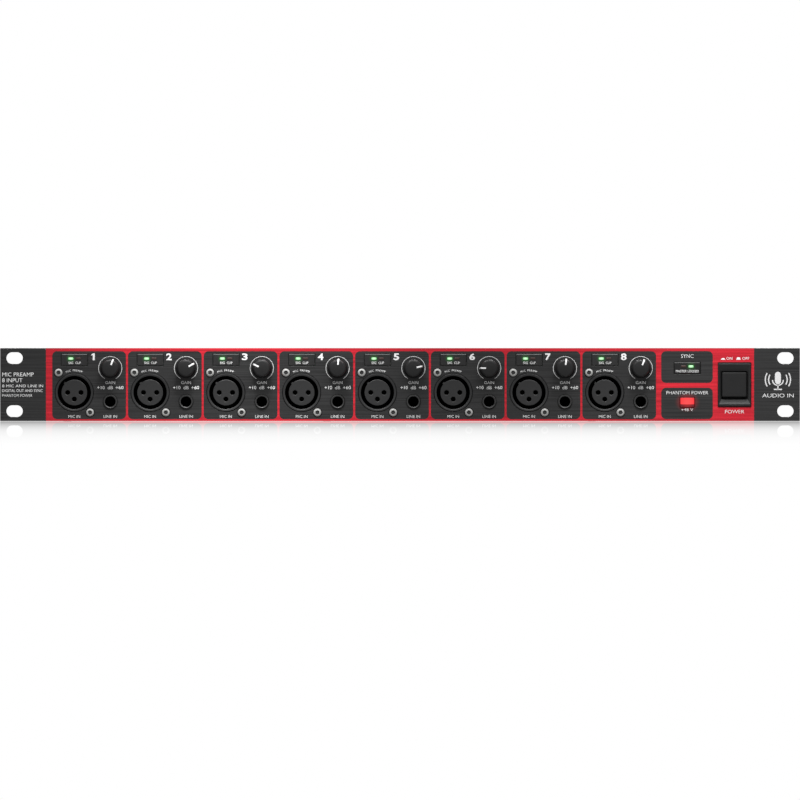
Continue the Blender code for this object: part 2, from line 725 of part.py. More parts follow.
def make_transformer():
    """The ring-core mains transformer, flat on the tray's floor."""
    outer, inner, height, corner = 33.0, 10.0, 31.0, 4.0
    profile = [
        (inner, height - corner),
        (inner + corner, height),
        (outer - corner, height),
        (outer, height - corner),
        (outer, corner),
        (outer - corner, 0.0),
        (inner + corner, 0.0),
        (inner, corner),
    ]
    place = at(171.0, 108.0, CASE_FLOOR_Z + SHEET + GAP)
    ring = turned("power_transformer", profile, place, (0.0, 0.0, 0.0), 24, closed=True)
    keep(ring, "power_transformer", TRANSFORMER_TAPE)


# Rear


def make_line_outputs():
    """A male three-pole socket, with its flange on the outside of the rear wall."""
    x, z = FIRST_OUTPUT_X, REAR_Z
    width, height, thickness = OUTPUT_FLANGE
    outside = REAR + GAP
    flange = centred_box("line_output", x, z, (width, height), (outside, outside + thickness))
    barrel_depth = (REAR - OUTPUT_BARREL_DEPTH, outside + thickness / 2)
    barrel = cylinder("output_barrel", x, z, OUTPUT_BARREL_RADIUS, barrel_depth, 20)
    bore_bottom = outside + thickness - OUTPUT_BORE_DEPTH
    bore = cylinder("output_bore", x, z, OUTPUT_BORE_RADIUS, (bore_bottom, outside + thickness + 1.0), 20)
    pins = [
        cylinder("pin", px, pz, PIN_RADIUS, (bore_bottom - PIN_ROOT, bore_bottom + PIN_LENGTH), 8)
        for px, pz in contact_spots(x, z)
    ]
    add(flange, barrel)
    cut(flange, bore)
    add(flange, joined("pins", pins))
    repeat(flange, "line_output", BLACK_PLASTIC, OUTPUT_STEPS)


def about(x, reach, z_range):
    """The x and z ranges of something that reaches equally to both sides of x, at the rear's middle height."""
    return (x - reach, x + reach), tuple(REAR_Z + z for z in z_range)


def make_optical_ports():
    """Twin optical sockets in one housing. Behind each mouth hangs a shutter that a plug pushes inwards."""
    centres = [OPTICAL_X - OPTICAL_PORT_OFFSET, OPTICAL_X + OPTICAL_PORT_OFFSET]
    body_depth = (OPTICAL_FACE - OPTICAL_BODY_DEPTH, OPTICAL_FACE)
    body = centred_box("optical_ports", OPTICAL_X, REAR_Z, OPTICAL_BODY, body_depth)
    cavity_back = OPTICAL_FACE - OPTICAL_WALL
    cavities, mouths = [], []
    for x in centres:
        across, upright = about(x, OPTICAL_CAVITY_X, OPTICAL_CAVITY_Z)
        inner = (OPTICAL_FACE - OPTICAL_CAVITY_DEPTH, cavity_back)
        cavities.append(box("optical_cavity", across, inner, upright))
        mouth_depth = (cavity_back - 0.5, OPTICAL_FACE + 1.0)
        mouths.append(centred_box("optical_mouth", x, REAR_Z, (OPTICAL_MOUTH, OPTICAL_MOUTH), mouth_depth))
    keep(cut(body, joined("cavities", cavities), joined("mouths", mouths)), "optical_ports", BLACK_PLASTIC)
    for name, x in zip(("optical_shutter_in", "optical_shutter_out"), centres):
        across, upright = about(x, SHUTTER_X, SHUTTER_Z)
        flap_depth = (cavity_back - GAP - SHUTTER_THICKNESS, cavity_back - GAP)
        keep(box(name, across, flap_depth, upright), name, BLACK_PLASTIC)


def make_clock_socket():
    """A bayonet coaxial socket: a nut on the rear wall, and a tube with two lugs round an insulator."""
    insulator, inner, outer = CLOCK_RADII
    place = at(CLOCK_X, REAR, REAR_Z)
    profile = [
        (0.0, CLOCK_INSULATOR_REACH),
        (insulator, CLOCK_INSULATOR_REACH),
        (insulator, CLOCK_CAVITY_FLOOR),
        (inner, CLOCK_CAVITY_FLOOR),
        (inner, CLOCK_REACH),
        (outer, CLOCK_REACH),
        (outer, CLOCK_TUBE_BACK),
        (0.0, CLOCK_TUBE_BACK),
    ]
    tube = turned("word_clock_socket", profile, place, BACKWARDS, 16)
    nut_depth = (REAR + GAP, REAR + GAP + CLOCK_NUT_THICKNESS)
    nut = cylinder("clock_nut", CLOCK_X, REAR_Z, CLOCK_NUT_RADIUS, nut_depth, 6)
    wall_middle = (inner + outer) / 2
    nut_bore = cylinder("clock_nut_bore", CLOCK_X, REAR_Z, wall_middle, (REAR - 1.0, REAR + 5.0), 16)
    body_depth = (REAR - CLOCK_BODY[2], REAR - SHEET - GAP)
    body = centred_box("clock_body", CLOCK_X, REAR_Z, CLOCK_BODY[:2], body_depth)
    lug_depth = tuple(REAR + depth for depth in CLOCK_LUG_DEPTH)
    lug_size = (CLOCK_LUG_WIDTH, CLOCK_LUG_WIDTH)
    lugs = [centred_box("clock_lug", CLOCK_X + side * outer, REAR_Z, lug_size, lug_depth) for side in (-1, 1)]
    add(tube, cut(nut, nut_bore), body, joined("clock_lugs", lugs))
    keep(tube, "word_clock_socket", NICKEL)


def make_sync_switch():
    """A slide switch: its case behind the rear wall's slot, and the selector that runs in the slot."""
    back = REAR - SHEET - GAP
    case = centred_box("sync_switch", SYNC_SWITCH_X, REAR_Z, SYNC_CASE[:2], (back - SYNC_CASE[2], back))
    track_floor = back - SYNC_TRACK_DEPTH
    track = centred_box("sync_track", SYNC_SWITCH_X, REAR_Z, SYNC_SLOT, (track_floor, back + 1.0))
    keep(cut(case, track), "sync_switch", NICKEL)
    selector_depth = (track_floor + GAP + 0.1, REAR + SELECTOR_REACH)
    selector = centred_box("sync_selector", SELECTOR_X, REAR_Z, SELECTOR_KNOB, selector_depth)
    keep(selector, "sync_selector", BLACK_PLASTIC)


def make_power_inlet():
    """The mains inlet, with a fuse drawer below the plug's cavity."""
    outside = REAR + GAP
    face = outside + INLET_FLANGE[2]
    body = centred_box("power_inlet", INLET_X, INLET_Z, INLET_FLANGE[:2], (outside, face))
    shell = centred_box("inlet_shell", INLET_X, INLET_Z, INLET_BODY, (REAR - INLET_BODY_BACK, outside + 1.0))
    cavity_floor = face - INLET_CAVITY_DEPTH
    cavity = centred_box("inlet_cavity", INLET_X, INLET_CAVITY_Z, INLET_CAVITY, (cavity_floor, face + 1.0))
    blade_depth = (cavity_floor - 1.0, face - BLADE_SET_BACK)
    blades = [
        centred_box("blade", INLET_X + x, INLET_CAVITY_Z + z, BLADE, blade_depth) for x, z in BLADE_SPOTS
    ]
    seat_size = (DRAWER[0] + 2 * GAP, DRAWER[1] + 2 * GAP)
    seat = centred_box("drawer_seat", INLET_X, DRAWER_Z, seat_size, (face - DRAWER_DEPTH - GAP, face + 1.0))
    cut(add(body, shell), cavity, seat)
    keep(add(body, joined("blades", blades)), "power_inlet", BLACK_PLASTIC)
    drawer_depth = (face - DRAWER_DEPTH, face + DRAWER_REACH)
    drawer = centred_box("fuse_drawer", INLET_X, DRAWER_Z, DRAWER, drawer_depth)
    keep(drawer, "fuse_drawer", BLACK_PLASTIC)


make_front_panel()
make_chassis_tray()
make_top_cover()
make_mic_sockets()
make_line_sockets()
make_gain_pots()
make_gain_knobs()
make_meter_lens()
make_power_switch()
make_phantom_switch()
make_boards()
make_transformer()
make_line_outputs()
make_optical_ports()
make_clock_socket()
make_sync_switch()
make_power_inlet()
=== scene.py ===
"""The looks of the rack-mount microphone preamp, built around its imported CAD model.

Lengths are in millimetres. Each piece is drawn facing its viewer, with x across, y up and z outwards, and
place() then turns it to its side of the case. The front faces -Y, and the row frame's Z is up.
"""

import json
import math

import bmesh
import bpy
from mathutils import Matrix, Vector


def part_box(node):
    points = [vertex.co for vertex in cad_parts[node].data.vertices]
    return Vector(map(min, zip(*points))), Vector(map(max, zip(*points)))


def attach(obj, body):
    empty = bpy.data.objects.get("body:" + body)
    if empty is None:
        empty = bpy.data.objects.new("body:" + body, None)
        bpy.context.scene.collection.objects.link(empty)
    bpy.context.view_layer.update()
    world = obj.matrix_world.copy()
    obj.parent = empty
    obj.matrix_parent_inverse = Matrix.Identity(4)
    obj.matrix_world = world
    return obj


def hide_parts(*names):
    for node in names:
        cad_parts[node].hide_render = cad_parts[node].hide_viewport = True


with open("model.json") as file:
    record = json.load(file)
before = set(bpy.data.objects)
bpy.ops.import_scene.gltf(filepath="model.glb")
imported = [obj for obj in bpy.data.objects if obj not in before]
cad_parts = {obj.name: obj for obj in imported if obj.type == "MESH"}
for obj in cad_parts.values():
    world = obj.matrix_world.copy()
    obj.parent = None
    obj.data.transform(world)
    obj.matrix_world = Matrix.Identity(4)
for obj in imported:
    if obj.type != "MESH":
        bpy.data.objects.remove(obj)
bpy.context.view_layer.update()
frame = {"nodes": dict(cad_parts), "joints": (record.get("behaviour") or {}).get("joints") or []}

MM = 0.001
CHANNELS = range(1, 9)


# Measures taken from the frame


def box_mm(node):
    low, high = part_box(node)
    return low / MM, high / MM


def centre_mm(node):
    """The x and z of a node's centre."""
    low, high = box_mm(node)
    return (low.x + high.x) / 2, (low.z + high.z) / 2


JOINTS = {joint["name"]: joint for joint in frame["joints"]}
PANEL_LOW, PANEL_HIGH = box_mm("front_panel")
FACE = PANEL_LOW.y
PANEL_BACK = PANEL_HIGH.y
REAR = box_mm("chassis_tray")[1].y
PANEL_WIDTH = PANEL_HIGH.x - PANEL_LOW.x
PANEL_HEIGHT = PANEL_HIGH.z - PANEL_LOW.z
MID_Z = PANEL_HEIGHT / 2
MIC = {i: centre_mm(f"mic_socket_{i}") for i in CHANNELS}
LINE = {i: centre_mm(f"line_socket_{i}") for i in CHANNELS}
KNOB = {i: tuple(v / MM for v in JOINTS[f"gain_turn_{i}"]["pos_m"]) for i in CHANNELS}
KNOB_TURN = 150.0  # how far a knob turns each way from upright
OUTPUT = {i: centre_mm(f"line_output_{i}") for i in CHANNELS}
SYNC_X = centre_mm("phantom_button")[0]
PHANTOM_Z = centre_mm("phantom_button")[1]
POWER_X, POWER_Z = centre_mm("power_bezel")

# Layout of the printed front
FIELD_SIZE = (44.5, 41.0)
FIELD_Z = 21.62
FIELD_CORNER = 2.9
FIELD_SHIFT = 8.98  # a channel's field centre from its mic socket, less FIELD_DRIFT for each channel
FIELD_DRIFT = 0.035
SMALL_FIELDS = ((31.1, 19.2, 32.6), (31.1, 18.9, 10.65))  # sync and phantom: width, height and middle
SMALL_FIELD_X = SYNC_X - 0.15
RED_REACH = 213.6  # how far the red print runs each way from the middle
PRINT_LIFT = 0.004
PRINT_DEPTH = 0.03
METER = (0.1, 36.98)  # a window's centre: its distance from the mic socket in x, and its height
SYNC_WINDOW_Z = 31.95
PANE_SIZE = (16.05, 7.25)

# The panel's openings
SLOT_SPACING = (465.1, 32.0)
SLOT_SIZE = (9.9, 7.0)
PANEL_CORNER = 0.35
MIC_HOLE = 11.75
LINE_HOLE = 4.4
KNOB_HOLE = 3.7
WINDOW_SIZE = (16.35, 7.55)
WINDOW_CORNER = 0.4
PHANTOM_HOLE = (9.2, 6.5, 0.7)
POWER_HOLE = (19.6, 26.4, 0.6)
POWER_GAP = (19.8, 26.6, 0.3)  # what the red print leaves round the power switch

# Three-pole sockets
MIC_SCREWS = ((-9.5, 12.0), (9.5, -12.0))
SCREW_HOLE = 1.6
CONTACTS = ((-4.0, 0.0), (4.0, 0.0), (0.0, -4.0))

# Steps round circles of four sizes or finishes
FINE = 96
ROUND = 72
SMALL = 32
TINY = 16


# Materials

# The grain of a surface's noise, per metre along the piece's x, y and z
BRUSHED = (14, 1500, 14)
STREAKED = (9, 620, 9)
PLASTIC = (2600,) * 3
KNOB_GRAIN = (5200,) * 3
METAL = (1200,) * 3
TURNED = (2400, 2400, 300)
GLASS = (300,) * 3
materials = {}


def add(tree, kind, **values):
    """A new shader node, with the values of its unlinked inputs."""
    node = tree.nodes.new("ShaderNode" + kind)
    for socket, value in values.items():
        node.inputs[socket.replace("_", " ")].default_value = value
    return node


def join(source, output, target, socket):
    """Links a node's output to another node's input."""
    target.id_data.links.new(source.outputs[output], target.inputs[socket])


def vector_math(tree, operation, source, output, *second):
    """An operation on another node's output, and on a fixed vector where one is given."""
    node = add(tree, "VectorMath")
    node.operation = operation
    join(source, output, node, 0)
    if second:
        node.inputs[1].default_value = second
    return node


def ramp_between(tree, start, end, places):
    """A ramp from one colour to another, between two places along it."""
    ramp = add(tree, "ValToRGB")
    for element, place_along, colour in zip(ramp.color_ramp.elements, places, (start, end)):
        element.position = place_along
        element.color = (*colour, 1)
    return ramp


def finish(name, colour, roughness, metallic=0.0, grain=PLASTIC, shade=0.12, bump=0.006, wear=0.08,
           specular=0.5, coat=0.0):
    """A material whose colour, roughness and surface vary with one noise: shade is the colour's swing as a
    share of itself, wear is the roughness's swing, and bump is the surface's depth in millimetres."""
    made = bpy.data.materials.new(name)
    made.use_nodes = True
    tree = made.node_tree
    shader = tree.nodes["Principled BSDF"]
    shader.inputs["Metallic"].default_value = metallic
    shader.inputs["Specular IOR Level"].default_value = specular
    shader.inputs["Coat Weight"].default_value = coat
    mapping = add(tree, "Mapping", Scale=grain)
    join(add(tree, "TexCoord"), "Object", mapping, "Vector")
    noise = add(tree, "TexNoise", Scale=1.0, Detail=4.0, Roughness=0.6)
    join(mapping, "Vector", noise, "Vector")
    dark = [c * (1 - shade) for c in colour]
    light = [min(1.0, c * (1 + shade)) for c in colour]
    ramp = ramp_between(tree, dark, light, (0.3, 0.7))
    join(noise, "Fac", ramp, "Fac")
    join(ramp, "Color", shader, "Base Color")
    span = add(tree, "MapRange", To_Min=max(0.02, roughness - wear), To_Max=min(1.0, roughness + wear))
    join(noise, "Fac", span, "Value")
    join(span, "Result", shader, "Roughness")
    if bump:
        relief = add(tree, "Bump", Distance=bump * MM, Strength=1.0)
        join(noise, "Fac", relief, "Height")
        join(relief, "Normal", shader, "Normal")
    materials[name] = made
    return made


def glow(name, core, edge, strength, reach):
    """A lit material: its own light runs from core to edge over a distance from the piece's origin, in mm."""
    tree = finish(name, [c * 0.5 for c in edge], 0.35, grain=(900,) * 3, bump=0.02).node_tree
    shader = tree.nodes["Principled BSDF"]
    length = vector_math(tree, "LENGTH", add(tree, "TexCoord"), "Object")
    span = add(tree, "MapRange", From_Max=reach * MM)
    join(length, "Value", span, "Value")
    ramp = ramp_between(tree, core, edge, (0.35, 1.0))
    join(span, "Result", ramp, "Fac")
    join(ramp, "Color", shader, "Emission Color")
    shader.inputs["Emission Strength"].default_value = strength


def halo(made, colour, centre, reach, strength, squeeze=1.0):
    """Adds a painted glow to a material about a point of the piece, in mm from its origin: emission that
    stands in for light falling on it or spreading in it.

    It fades between the two distances of reach, and is squeezed upright by a factor.
    """
    tree = made.node_tree
    shader = tree.nodes["Principled BSDF"]
    away = vector_math(tree, "SUBTRACT", add(tree, "TexCoord"), "Object", *[c * MM for c in centre])
    oval = vector_math(tree, "MULTIPLY", away, "Vector", 1.0, squeeze, 1.0)
    length = vector_math(tree, "LENGTH", oval, "Vector")
    near, far = reach
    span = add(tree, "MapRange", From_Min=near * MM, From_Max=far * MM, To_Min=strength, To_Max=0.0)
    span.interpolation_type = "SMOOTHERSTEP"
    join(length, "Value", span, "Value")
    join(span, "Result", shader, "Emission Strength")
    shader.inputs["Emission Color"].default_value = (*colour, 1)


finish("panel_black", (0.024, 0.024, 0.0243), 0.45, grain=BRUSHED, shade=0.6, bump=0.004, specular=0.35)
finish("panel_red", (0.57, 0.0185, 0.033), 0.45, grain=STREAKED, shade=0.34, bump=0.004, specular=0.2)
finish("label_ink", (0.76, 0.76, 0.76), 0.5, shade=0.05, bump=0.002)
finish("white_ink", (0.9, 0.9, 0.9), 0.5, shade=0.04, bump=0.002)
finish("grey_ink", (0.72, 0.72, 0.72), 0.5, shade=0.06, bump=0.002)
finish("case_paint", (0.021, 0.021, 0.022), 0.75, grain=(1800,) * 3, shade=0.2, bump=0.06, specular=0.12)
finish("black_plastic", (0.022, 0.022, 0.0225), 0.42, specular=0.4)
finish("socket_plastic", (0.0195, 0.0195, 0.02), 0.42)
# Painted light and shade on the power switch's frame: its slopes are its plastic made lighter, for the shade
# they lie in, and its outer step near-black as a painted shadow line.
finish("bezel_slope_painted_light", (0.037, 0.037, 0.0375), 0.5, specular=0.3)
finish("bezel_edge_painted_shadow", (0.007, 0.007, 0.007), 0.5, bump=0.004, specular=0.2)
finish("button_plastic", (0.019, 0.019, 0.0193), 0.5, specular=0.15)
finish("bush_plastic", (0.034, 0.034, 0.034), 0.4, bump=0.004)
# Painted shade: the contacts deep in the mic sockets' holes are given a near-black in place of metal.
finish("contact_painted_shade", (0.012, 0.01, 0.006), 0.5, bump=0, specular=0.1)
# Painted shade: a near-black for grooves, bores, wells and the ring round screw heads, where there is only
# shade.
finish("painted_shade_black", (0.002, 0.002, 0.002), 0.7, bump=0, specular=0.1)
# Painted light and shade: the knob is one plastic, but its face is given a darker colour and its side a
# lighter one, for how light falls on them.
finish("knob_face_painted_dark", (0.0125, 0.0125, 0.0128), 0.6, grain=KNOB_GRAIN, bump=0.008, specular=0.0)
finish("knob_side_painted_light", (0.024, 0.024, 0.0245), 0.6, grain=KNOB_GRAIN, bump=0.008, specular=0.0)
finish("knob_edge", (0.014, 0.014, 0.0143), 0.45, grain=KNOB_GRAIN, bump=0.004, specular=0.3)
finish("lens_lit_left", (0.026, 0.026, 0.026), 0.2, grain=GLASS, bump=0, wear=0.04, specular=0.35)
finish("lens_lit_right", (0.019, 0.019, 0.019), 0.2, grain=GLASS, bump=0, wear=0.04, specular=0.3)
finish("nickel", (0.66, 0.65, 0.63), 0.26, 1.0, METAL, 0.06, 0.004)
finish("screw_steel", (0.42, 0.42, 0.41), 0.6, 0.15, TURNED, 0.1)
# Painted shade: the screws' recess is their steel made darker, for the shade inside it.
finish("recess_steel_painted_shade", (0.03, 0.03, 0.03), 0.5, 0.1, TURNED, 0.2)
finish("contact_gold", (0.86, 0.6, 0.22), 0.25, 1.0, METAL, 0.05, 0.003)
finish("insulator", (0.75, 0.74, 0.7), 0.45, shade=0.05, bump=0.002)
finish("dark_lamp", (0.055, 0.03, 0.026), 0.45, bump=0, specular=0.25)
finish("circuit_board", (0.018, 0.15, 0.055), 0.4, grain=(260,) * 3, shade=0.4, bump=0.02, coat=0.3)
finish("transformer_tape", (0.5, 0.36, 0.07), 0.35, grain=(40, 40, 900), shade=0.3, bump=0.1)
glow("green_lamp", (0.62, 0.98, 0.62), (0.1, 0.44, 0.12), 1.0, 1.7)
glow("red_lamp", (1.0, 0.075, 0.075), (0.6, 0.02, 0.025), 0.95, 5.2)
glow("red_skirt", (0.5, 0.012, 0.014), (0.12, 0.008, 0.012), 0.95, 4.2)


# Shapes


def ring(radius, z, x=0.0, y=0.0, steps=ROUND):
    """A circle of points, anticlockwise seen from outside."""
    turn = [2 * math.pi * i / steps for i in range(steps)]
    return [(x + radius * math.cos(a), y + radius * math.sin(a), z) for a in turn]


def frame_ring(width, height, corner, z, x=0.0, y=0.0, steps=6):
    """A rectangle of points with round corners, anticlockwise seen from outside."""
    points = []
    for quarter, (right, up) in enumerate(((1, 1), (-1, 1), (-1, -1), (1, -1))):
        middle_x = x + right * (width / 2 - corner)
        middle_y = y + up * (height / 2 - corner)
        for i in range(steps + 1):
            a = math.pi / 2 * (quarter + i / steps)
            points.append((middle_x + corner * math.cos(a), middle_y + corner * math.sin(a), z))
    return points


def lobed_ring(radius, depth, z, steps):
    """A circle whose radius swings in and out six times, as in a star-shaped recess."""
    turn = [2 * math.pi * i / steps for i in range(steps)]
    radii = [radius + depth * math.cos(6 * a) for a in turn]
    return [(r * math.cos(a), r * math.sin(a), z) for r, a in zip(radii, turn)]


def loft(bm, rings, slot=0, closed=False, caps=(True, True)):
    """Skins rings of equally many points, from the back outwards, with flat caps at the ends."""
    rows = [[bm.verts.new(Vector(p) * MM) for p in points] for points in rings]
    pairs = list(zip(rows, rows[1:]))
    if closed:
        pairs.append((rows[-1], rows[0]))
        caps = (False, False)
    for below, above in pairs:
        for i in range(len(below)):
            j = (i + 1) % len(below)
            bm.faces.new((below[i], below[j], above[j], above[i])).material_index = slot
    if caps[0]:
        bm.faces.new(rows[0][::-1]).material_index = slot
    if caps[1]:
        bm.faces.new(rows[-1]).material_index = slot


def stacked(bm, sizes, **options):
    """A shape through rectangles with round corners, each given as frame_ring takes it."""
    loft(bm, [frame_ring(*size) for size in sizes], **options)


def turned(bm, profile, x=0.0, y=0.0, steps=ROUND, **options):
    """A turned shape, from (radius, z) points that start at the back and run outwards."""
    loft(bm, [ring(radius, z, x, y, steps) for radius, z in profile], **options)


def weld(bm):
    """Joins the points that two lofts share."""
    bmesh.ops.remove_doubles(bm, verts=bm.verts, dist=0.000001)


def arc(x, y, radius, start, end, steps):
    """Points along an arc about a centre, between two angles in degrees."""
    angles = [math.radians(start + (end - start) * i / steps) for i in range(steps + 1)]
    return [(x + radius * math.cos(a), y + radius * math.sin(a)) for a in angles]


def circle(x, y, radius, steps=ROUND):
    return arc(x, y, radius, 0, 360, steps)[:-1]


def rounded(x, y, width, height, corner, steps=6):
    """The outline of a rectangle with round corners."""
    return [(a, b) for a, b, _ in frame_ring(width, height, corner, 0.0, x, y, steps)]


def evaluated(obj):
    """The mesh of a curve or text object, which is then removed."""
    bpy.context.scene.collection.objects.link(obj)
    bpy.context.view_layer.update()
    graph = bpy.context.evaluated_depsgraph_get()
    mesh = bpy.data.meshes.new_from_object(obj.evaluated_get(graph))
    bpy.data.objects.remove(obj)
    return mesh


def append(bm, mesh, slot=0, matrix=None):
    """Adds a mesh to a shape, in one material slot."""
    if matrix is not None:
        mesh.transform(matrix)
    for polygon in mesh.polygons:
        polygon.material_index = slot
    bm.from_mesh(mesh)
    bpy.data.meshes.remove(mesh)


def plate(bm, outlines, low, high, bevel=0.0, slot=0, matrix=None):
    """A flat plate between two heights. Outlines inside the first are holes, and the edges are rounded."""
    curve = bpy.data.curves.new("plate", "CURVE")
    curve.dimensions = "2D"
    curve.fill_mode = "BOTH"
    curve.extrude = ((high - low) / 2 - bevel) * MM
    curve.bevel_depth = bevel * MM
    curve.bevel_resolution = 1
    curve.offset = -bevel * MM
    for outline in outlines:
        spline = curve.splines.new("POLY")
        spline.points.add(len(outline) - 1)
        for point, (x, y) in zip(spline.points, outline):
            point.co = (x * MM, y * MM, 0.0, 1.0)
        spline.use_cyclic_u = True
    mesh = evaluated(bpy.data.objects.new("plate", curve))
    mesh.transform(Matrix.Translation((0, 0, (low + high) / 2 * MM)))
    append(bm, mesh, slot, matrix)


def letters(bm, words, x, y, cap, width=None, z=0.0, bold=0.0, slot=0, centred=True, turn=0.0):
    """Words or a number with their height and width. They are centred on x, or else start there."""
    text = bpy.data.curves.new("letters", "FONT")
    text.body = words
    text.size = 1.0
    text.offset = bold
    text.resolution_u = 3
    text.extrude = 0.5
    mesh = evaluated(bpy.data.objects.new("letters", text))
    xs = [v.co.x for v in mesh.vertices]
    ys = [v.co.y for v in mesh.vertices]
    tall = cap / (max(ys) - min(ys))
    wide = tall if width is None else width / (max(xs) - min(xs))
    anchor = (min(xs) + max(xs)) / 2 if centred else min(xs)
    for vertex in mesh.vertices:
        vertex.co.x = (vertex.co.x - anchor) * wide * MM
        vertex.co.y = (vertex.co.y - (min(ys) + max(ys)) / 2) * tall * MM
        vertex.co.z = (vertex.co.z + 0.5) * PRINT_DEPTH * MM
    move = Matrix.Translation((x * MM, y * MM, z * MM)) @ Matrix.Rotation(math.radians(turn), 4, "Z")
    append(bm, mesh, slot, move)


SIDES = {
    "front": (90, 0, 0),
    "rear": (90, 0, 180),
    "right": (90, 0, 90),
    "left": (90, 0, -90),
    "top": (0, 0, 0),
    "bottom": (180, 0, 0),
}


def place(name, bm, finishes, side, where, body="case", replaces=(), turn=0.0):
    """Makes a shape a piece on one side of the case, with its origin at a point in millimetres."""
    mesh = bm if isinstance(bm, bpy.types.Mesh) else to_mesh(name, bm, finishes)
    piece = bpy.data.objects.new(name, mesh)
    bpy.context.scene.collection.objects.link(piece)
    rotation = Matrix.Identity(4)
    for angle, axis in zip(SIDES[side], "XYZ"):
        rotation = Matrix.Rotation(math.radians(angle), 4, axis) @ rotation
    spin = Matrix.Rotation(math.radians(-turn), 4, "Z")
    piece.matrix_world = Matrix.Translation(Vector(where) * MM) @ rotation @ spin
    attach(piece, body)
    if replaces:
        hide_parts(*replaces)


def to_mesh(name, bm, finishes, smooth=35.0):
    """A smooth-shaded mesh with its materials, sharp where faces meet at more than an angle."""
    mesh = bpy.data.meshes.new(name)
    bm.to_mesh(mesh)
    bm.free()
    for finish_name in finishes:
        mesh.materials.append(materials[finish_name])
    mesh.shade_smooth()
    mesh.set_sharp_from_angle(angle=math.radians(smooth))
    return mesh


# Front panel and its printing

SCALE_RADIUS = 7.05
SCALE_STROKE = 0.25
SCALE_REACH = 152  # how far the scale runs each way from upright, in degrees


def panel_holes():
    """Outlines of the panel's openings, about the panel's centre."""
    holes = []
    for a in (-0.5, 0.5):
        for b in (-0.5, 0.5):
            x, z = a * SLOT_SPACING[0], b * SLOT_SPACING[1]
            holes.append(rounded(x, z, *SLOT_SIZE, SLOT_SIZE[1] / 2 - 0.001, TINY))
    for i in CHANNELS:
        mic_x, mic_z = MIC[i]
        line_x, line_z = LINE[i]
        knob_x, _, knob_z = KNOB[i]
        holes.append(circle(mic_x, mic_z - MID_Z, MIC_HOLE))
        holes.append(circle(line_x, line_z - MID_Z, LINE_HOLE))
        holes.append(circle(knob_x, knob_z - MID_Z, KNOB_HOLE, SMALL))
        holes.append(rounded(mic_x + METER[0], METER[1] - MID_Z, *WINDOW_SIZE, WINDOW_CORNER))
        for dx, dz in MIC_SCREWS:
            holes.append(circle(mic_x + dx, mic_z + dz - MID_Z, SCREW_HOLE, TINY))
    holes.append(rounded(SYNC_X, SYNC_WINDOW_Z - MID_Z, *WINDOW_SIZE, WINDOW_CORNER))
    holes.append(rounded(SYNC_X, PHANTOM_Z - MID_Z, *PHANTOM_HOLE))
    holes.append(rounded(POWER_X, POWER_Z - MID_Z, *POWER_HOLE))
    return holes


def make_panel():
    """The brushed panel, with the lit phantom button's light painted on it as a red glow round the button."""
    lit_button = (SYNC_X, PHANTOM_Z - MID_Z, 0.0)
    # Painted light: a red emission glow on the panel round the phantom button, standing in for the light the
    # lit button casts on it.
    halo(materials["panel_black"], (1.0, 0.02, 0.03), lit_button, (2.6, 8.6), 0.16, 1.25)
    bm = bmesh.new()
    outline = rounded(0, 0, PANEL_WIDTH, PANEL_HEIGHT, PANEL_CORNER, 3)
    plate(bm, [outline] + panel_holes(), FACE - PANEL_BACK, 0.0, 0.13)
    place("brushed_front_panel", bm, ["panel_black"], "front", (0, FACE, MID_Z),
          replaces=["front_panel"])


def make_red_field():
    """The red print, which leaves the panel's own black showing in each channel's field."""
    bm = bmesh.new()
    outlines = [rounded(0, 0, 2 * RED_REACH, PANEL_HEIGHT, 0.05, 1)]
    for i in CHANNELS:
        centre = MIC[i][0] + FIELD_SHIFT - FIELD_DRIFT * i
        outlines.append(rounded(centre, FIELD_Z - MID_Z, *FIELD_SIZE, FIELD_CORNER, 10))
    for width, height, z in SMALL_FIELDS:
        outlines.append(rounded(SMALL_FIELD_X, z - MID_Z, width, height, FIELD_CORNER, 10))
    outlines.append(rounded(POWER_X, POWER_Z - MID_Z, *POWER_GAP))
    plate(bm, outlines, PRINT_LIFT, PRINT_DEPTH)
    place("red_print", bm, ["panel_red"], "front", (0, FACE, MID_Z))


def scale_arc(bm, x, y):
    """The open ring printed round a knob, about upright."""
    outer = arc(x, y, SCALE_RADIUS + SCALE_STROKE / 2, 90 - SCALE_REACH, 90 + SCALE_REACH, 60)
    inner = arc(x, y, SCALE_RADIUS - SCALE_STROKE / 2, 90 + SCALE_REACH, 90 - SCALE_REACH, 60)
    plate(bm, [outer + inner], PRINT_LIFT, PRINT_LIFT + PRINT_DEPTH)


def arc_letters(bm, words, x, y, radius, reach, cap):
    """Words on an arc over a socket, one letter at a time."""
    for i, letter in enumerate(words):
        if letter == " ":
            continue
        angle = reach - 2 * reach * i / (len(words) - 1)
        a = math.radians(90 + angle)
        letters(bm, letter, x + radius * math.cos(a), y + radius * math.sin(a), cap, turn=angle)


def numeral(bm, i, x, y):
    """A channel's number, in wide bold figures."""
    if i == 1:
        flag = [(-1.3, 0.75), (-1.3, 1.25), (0.1, 2.1), (0.9, 2.1), (0.9, -2.1), (-0.35, -2.1), (-0.35, 0.95)]
        plate(bm, [[(x + a, y + b) for a, b in flag]], 0.0, PRINT_DEPTH)
    else:
        letters(bm, str(i), x, y, 4.1, 3.4, bold=0.03)


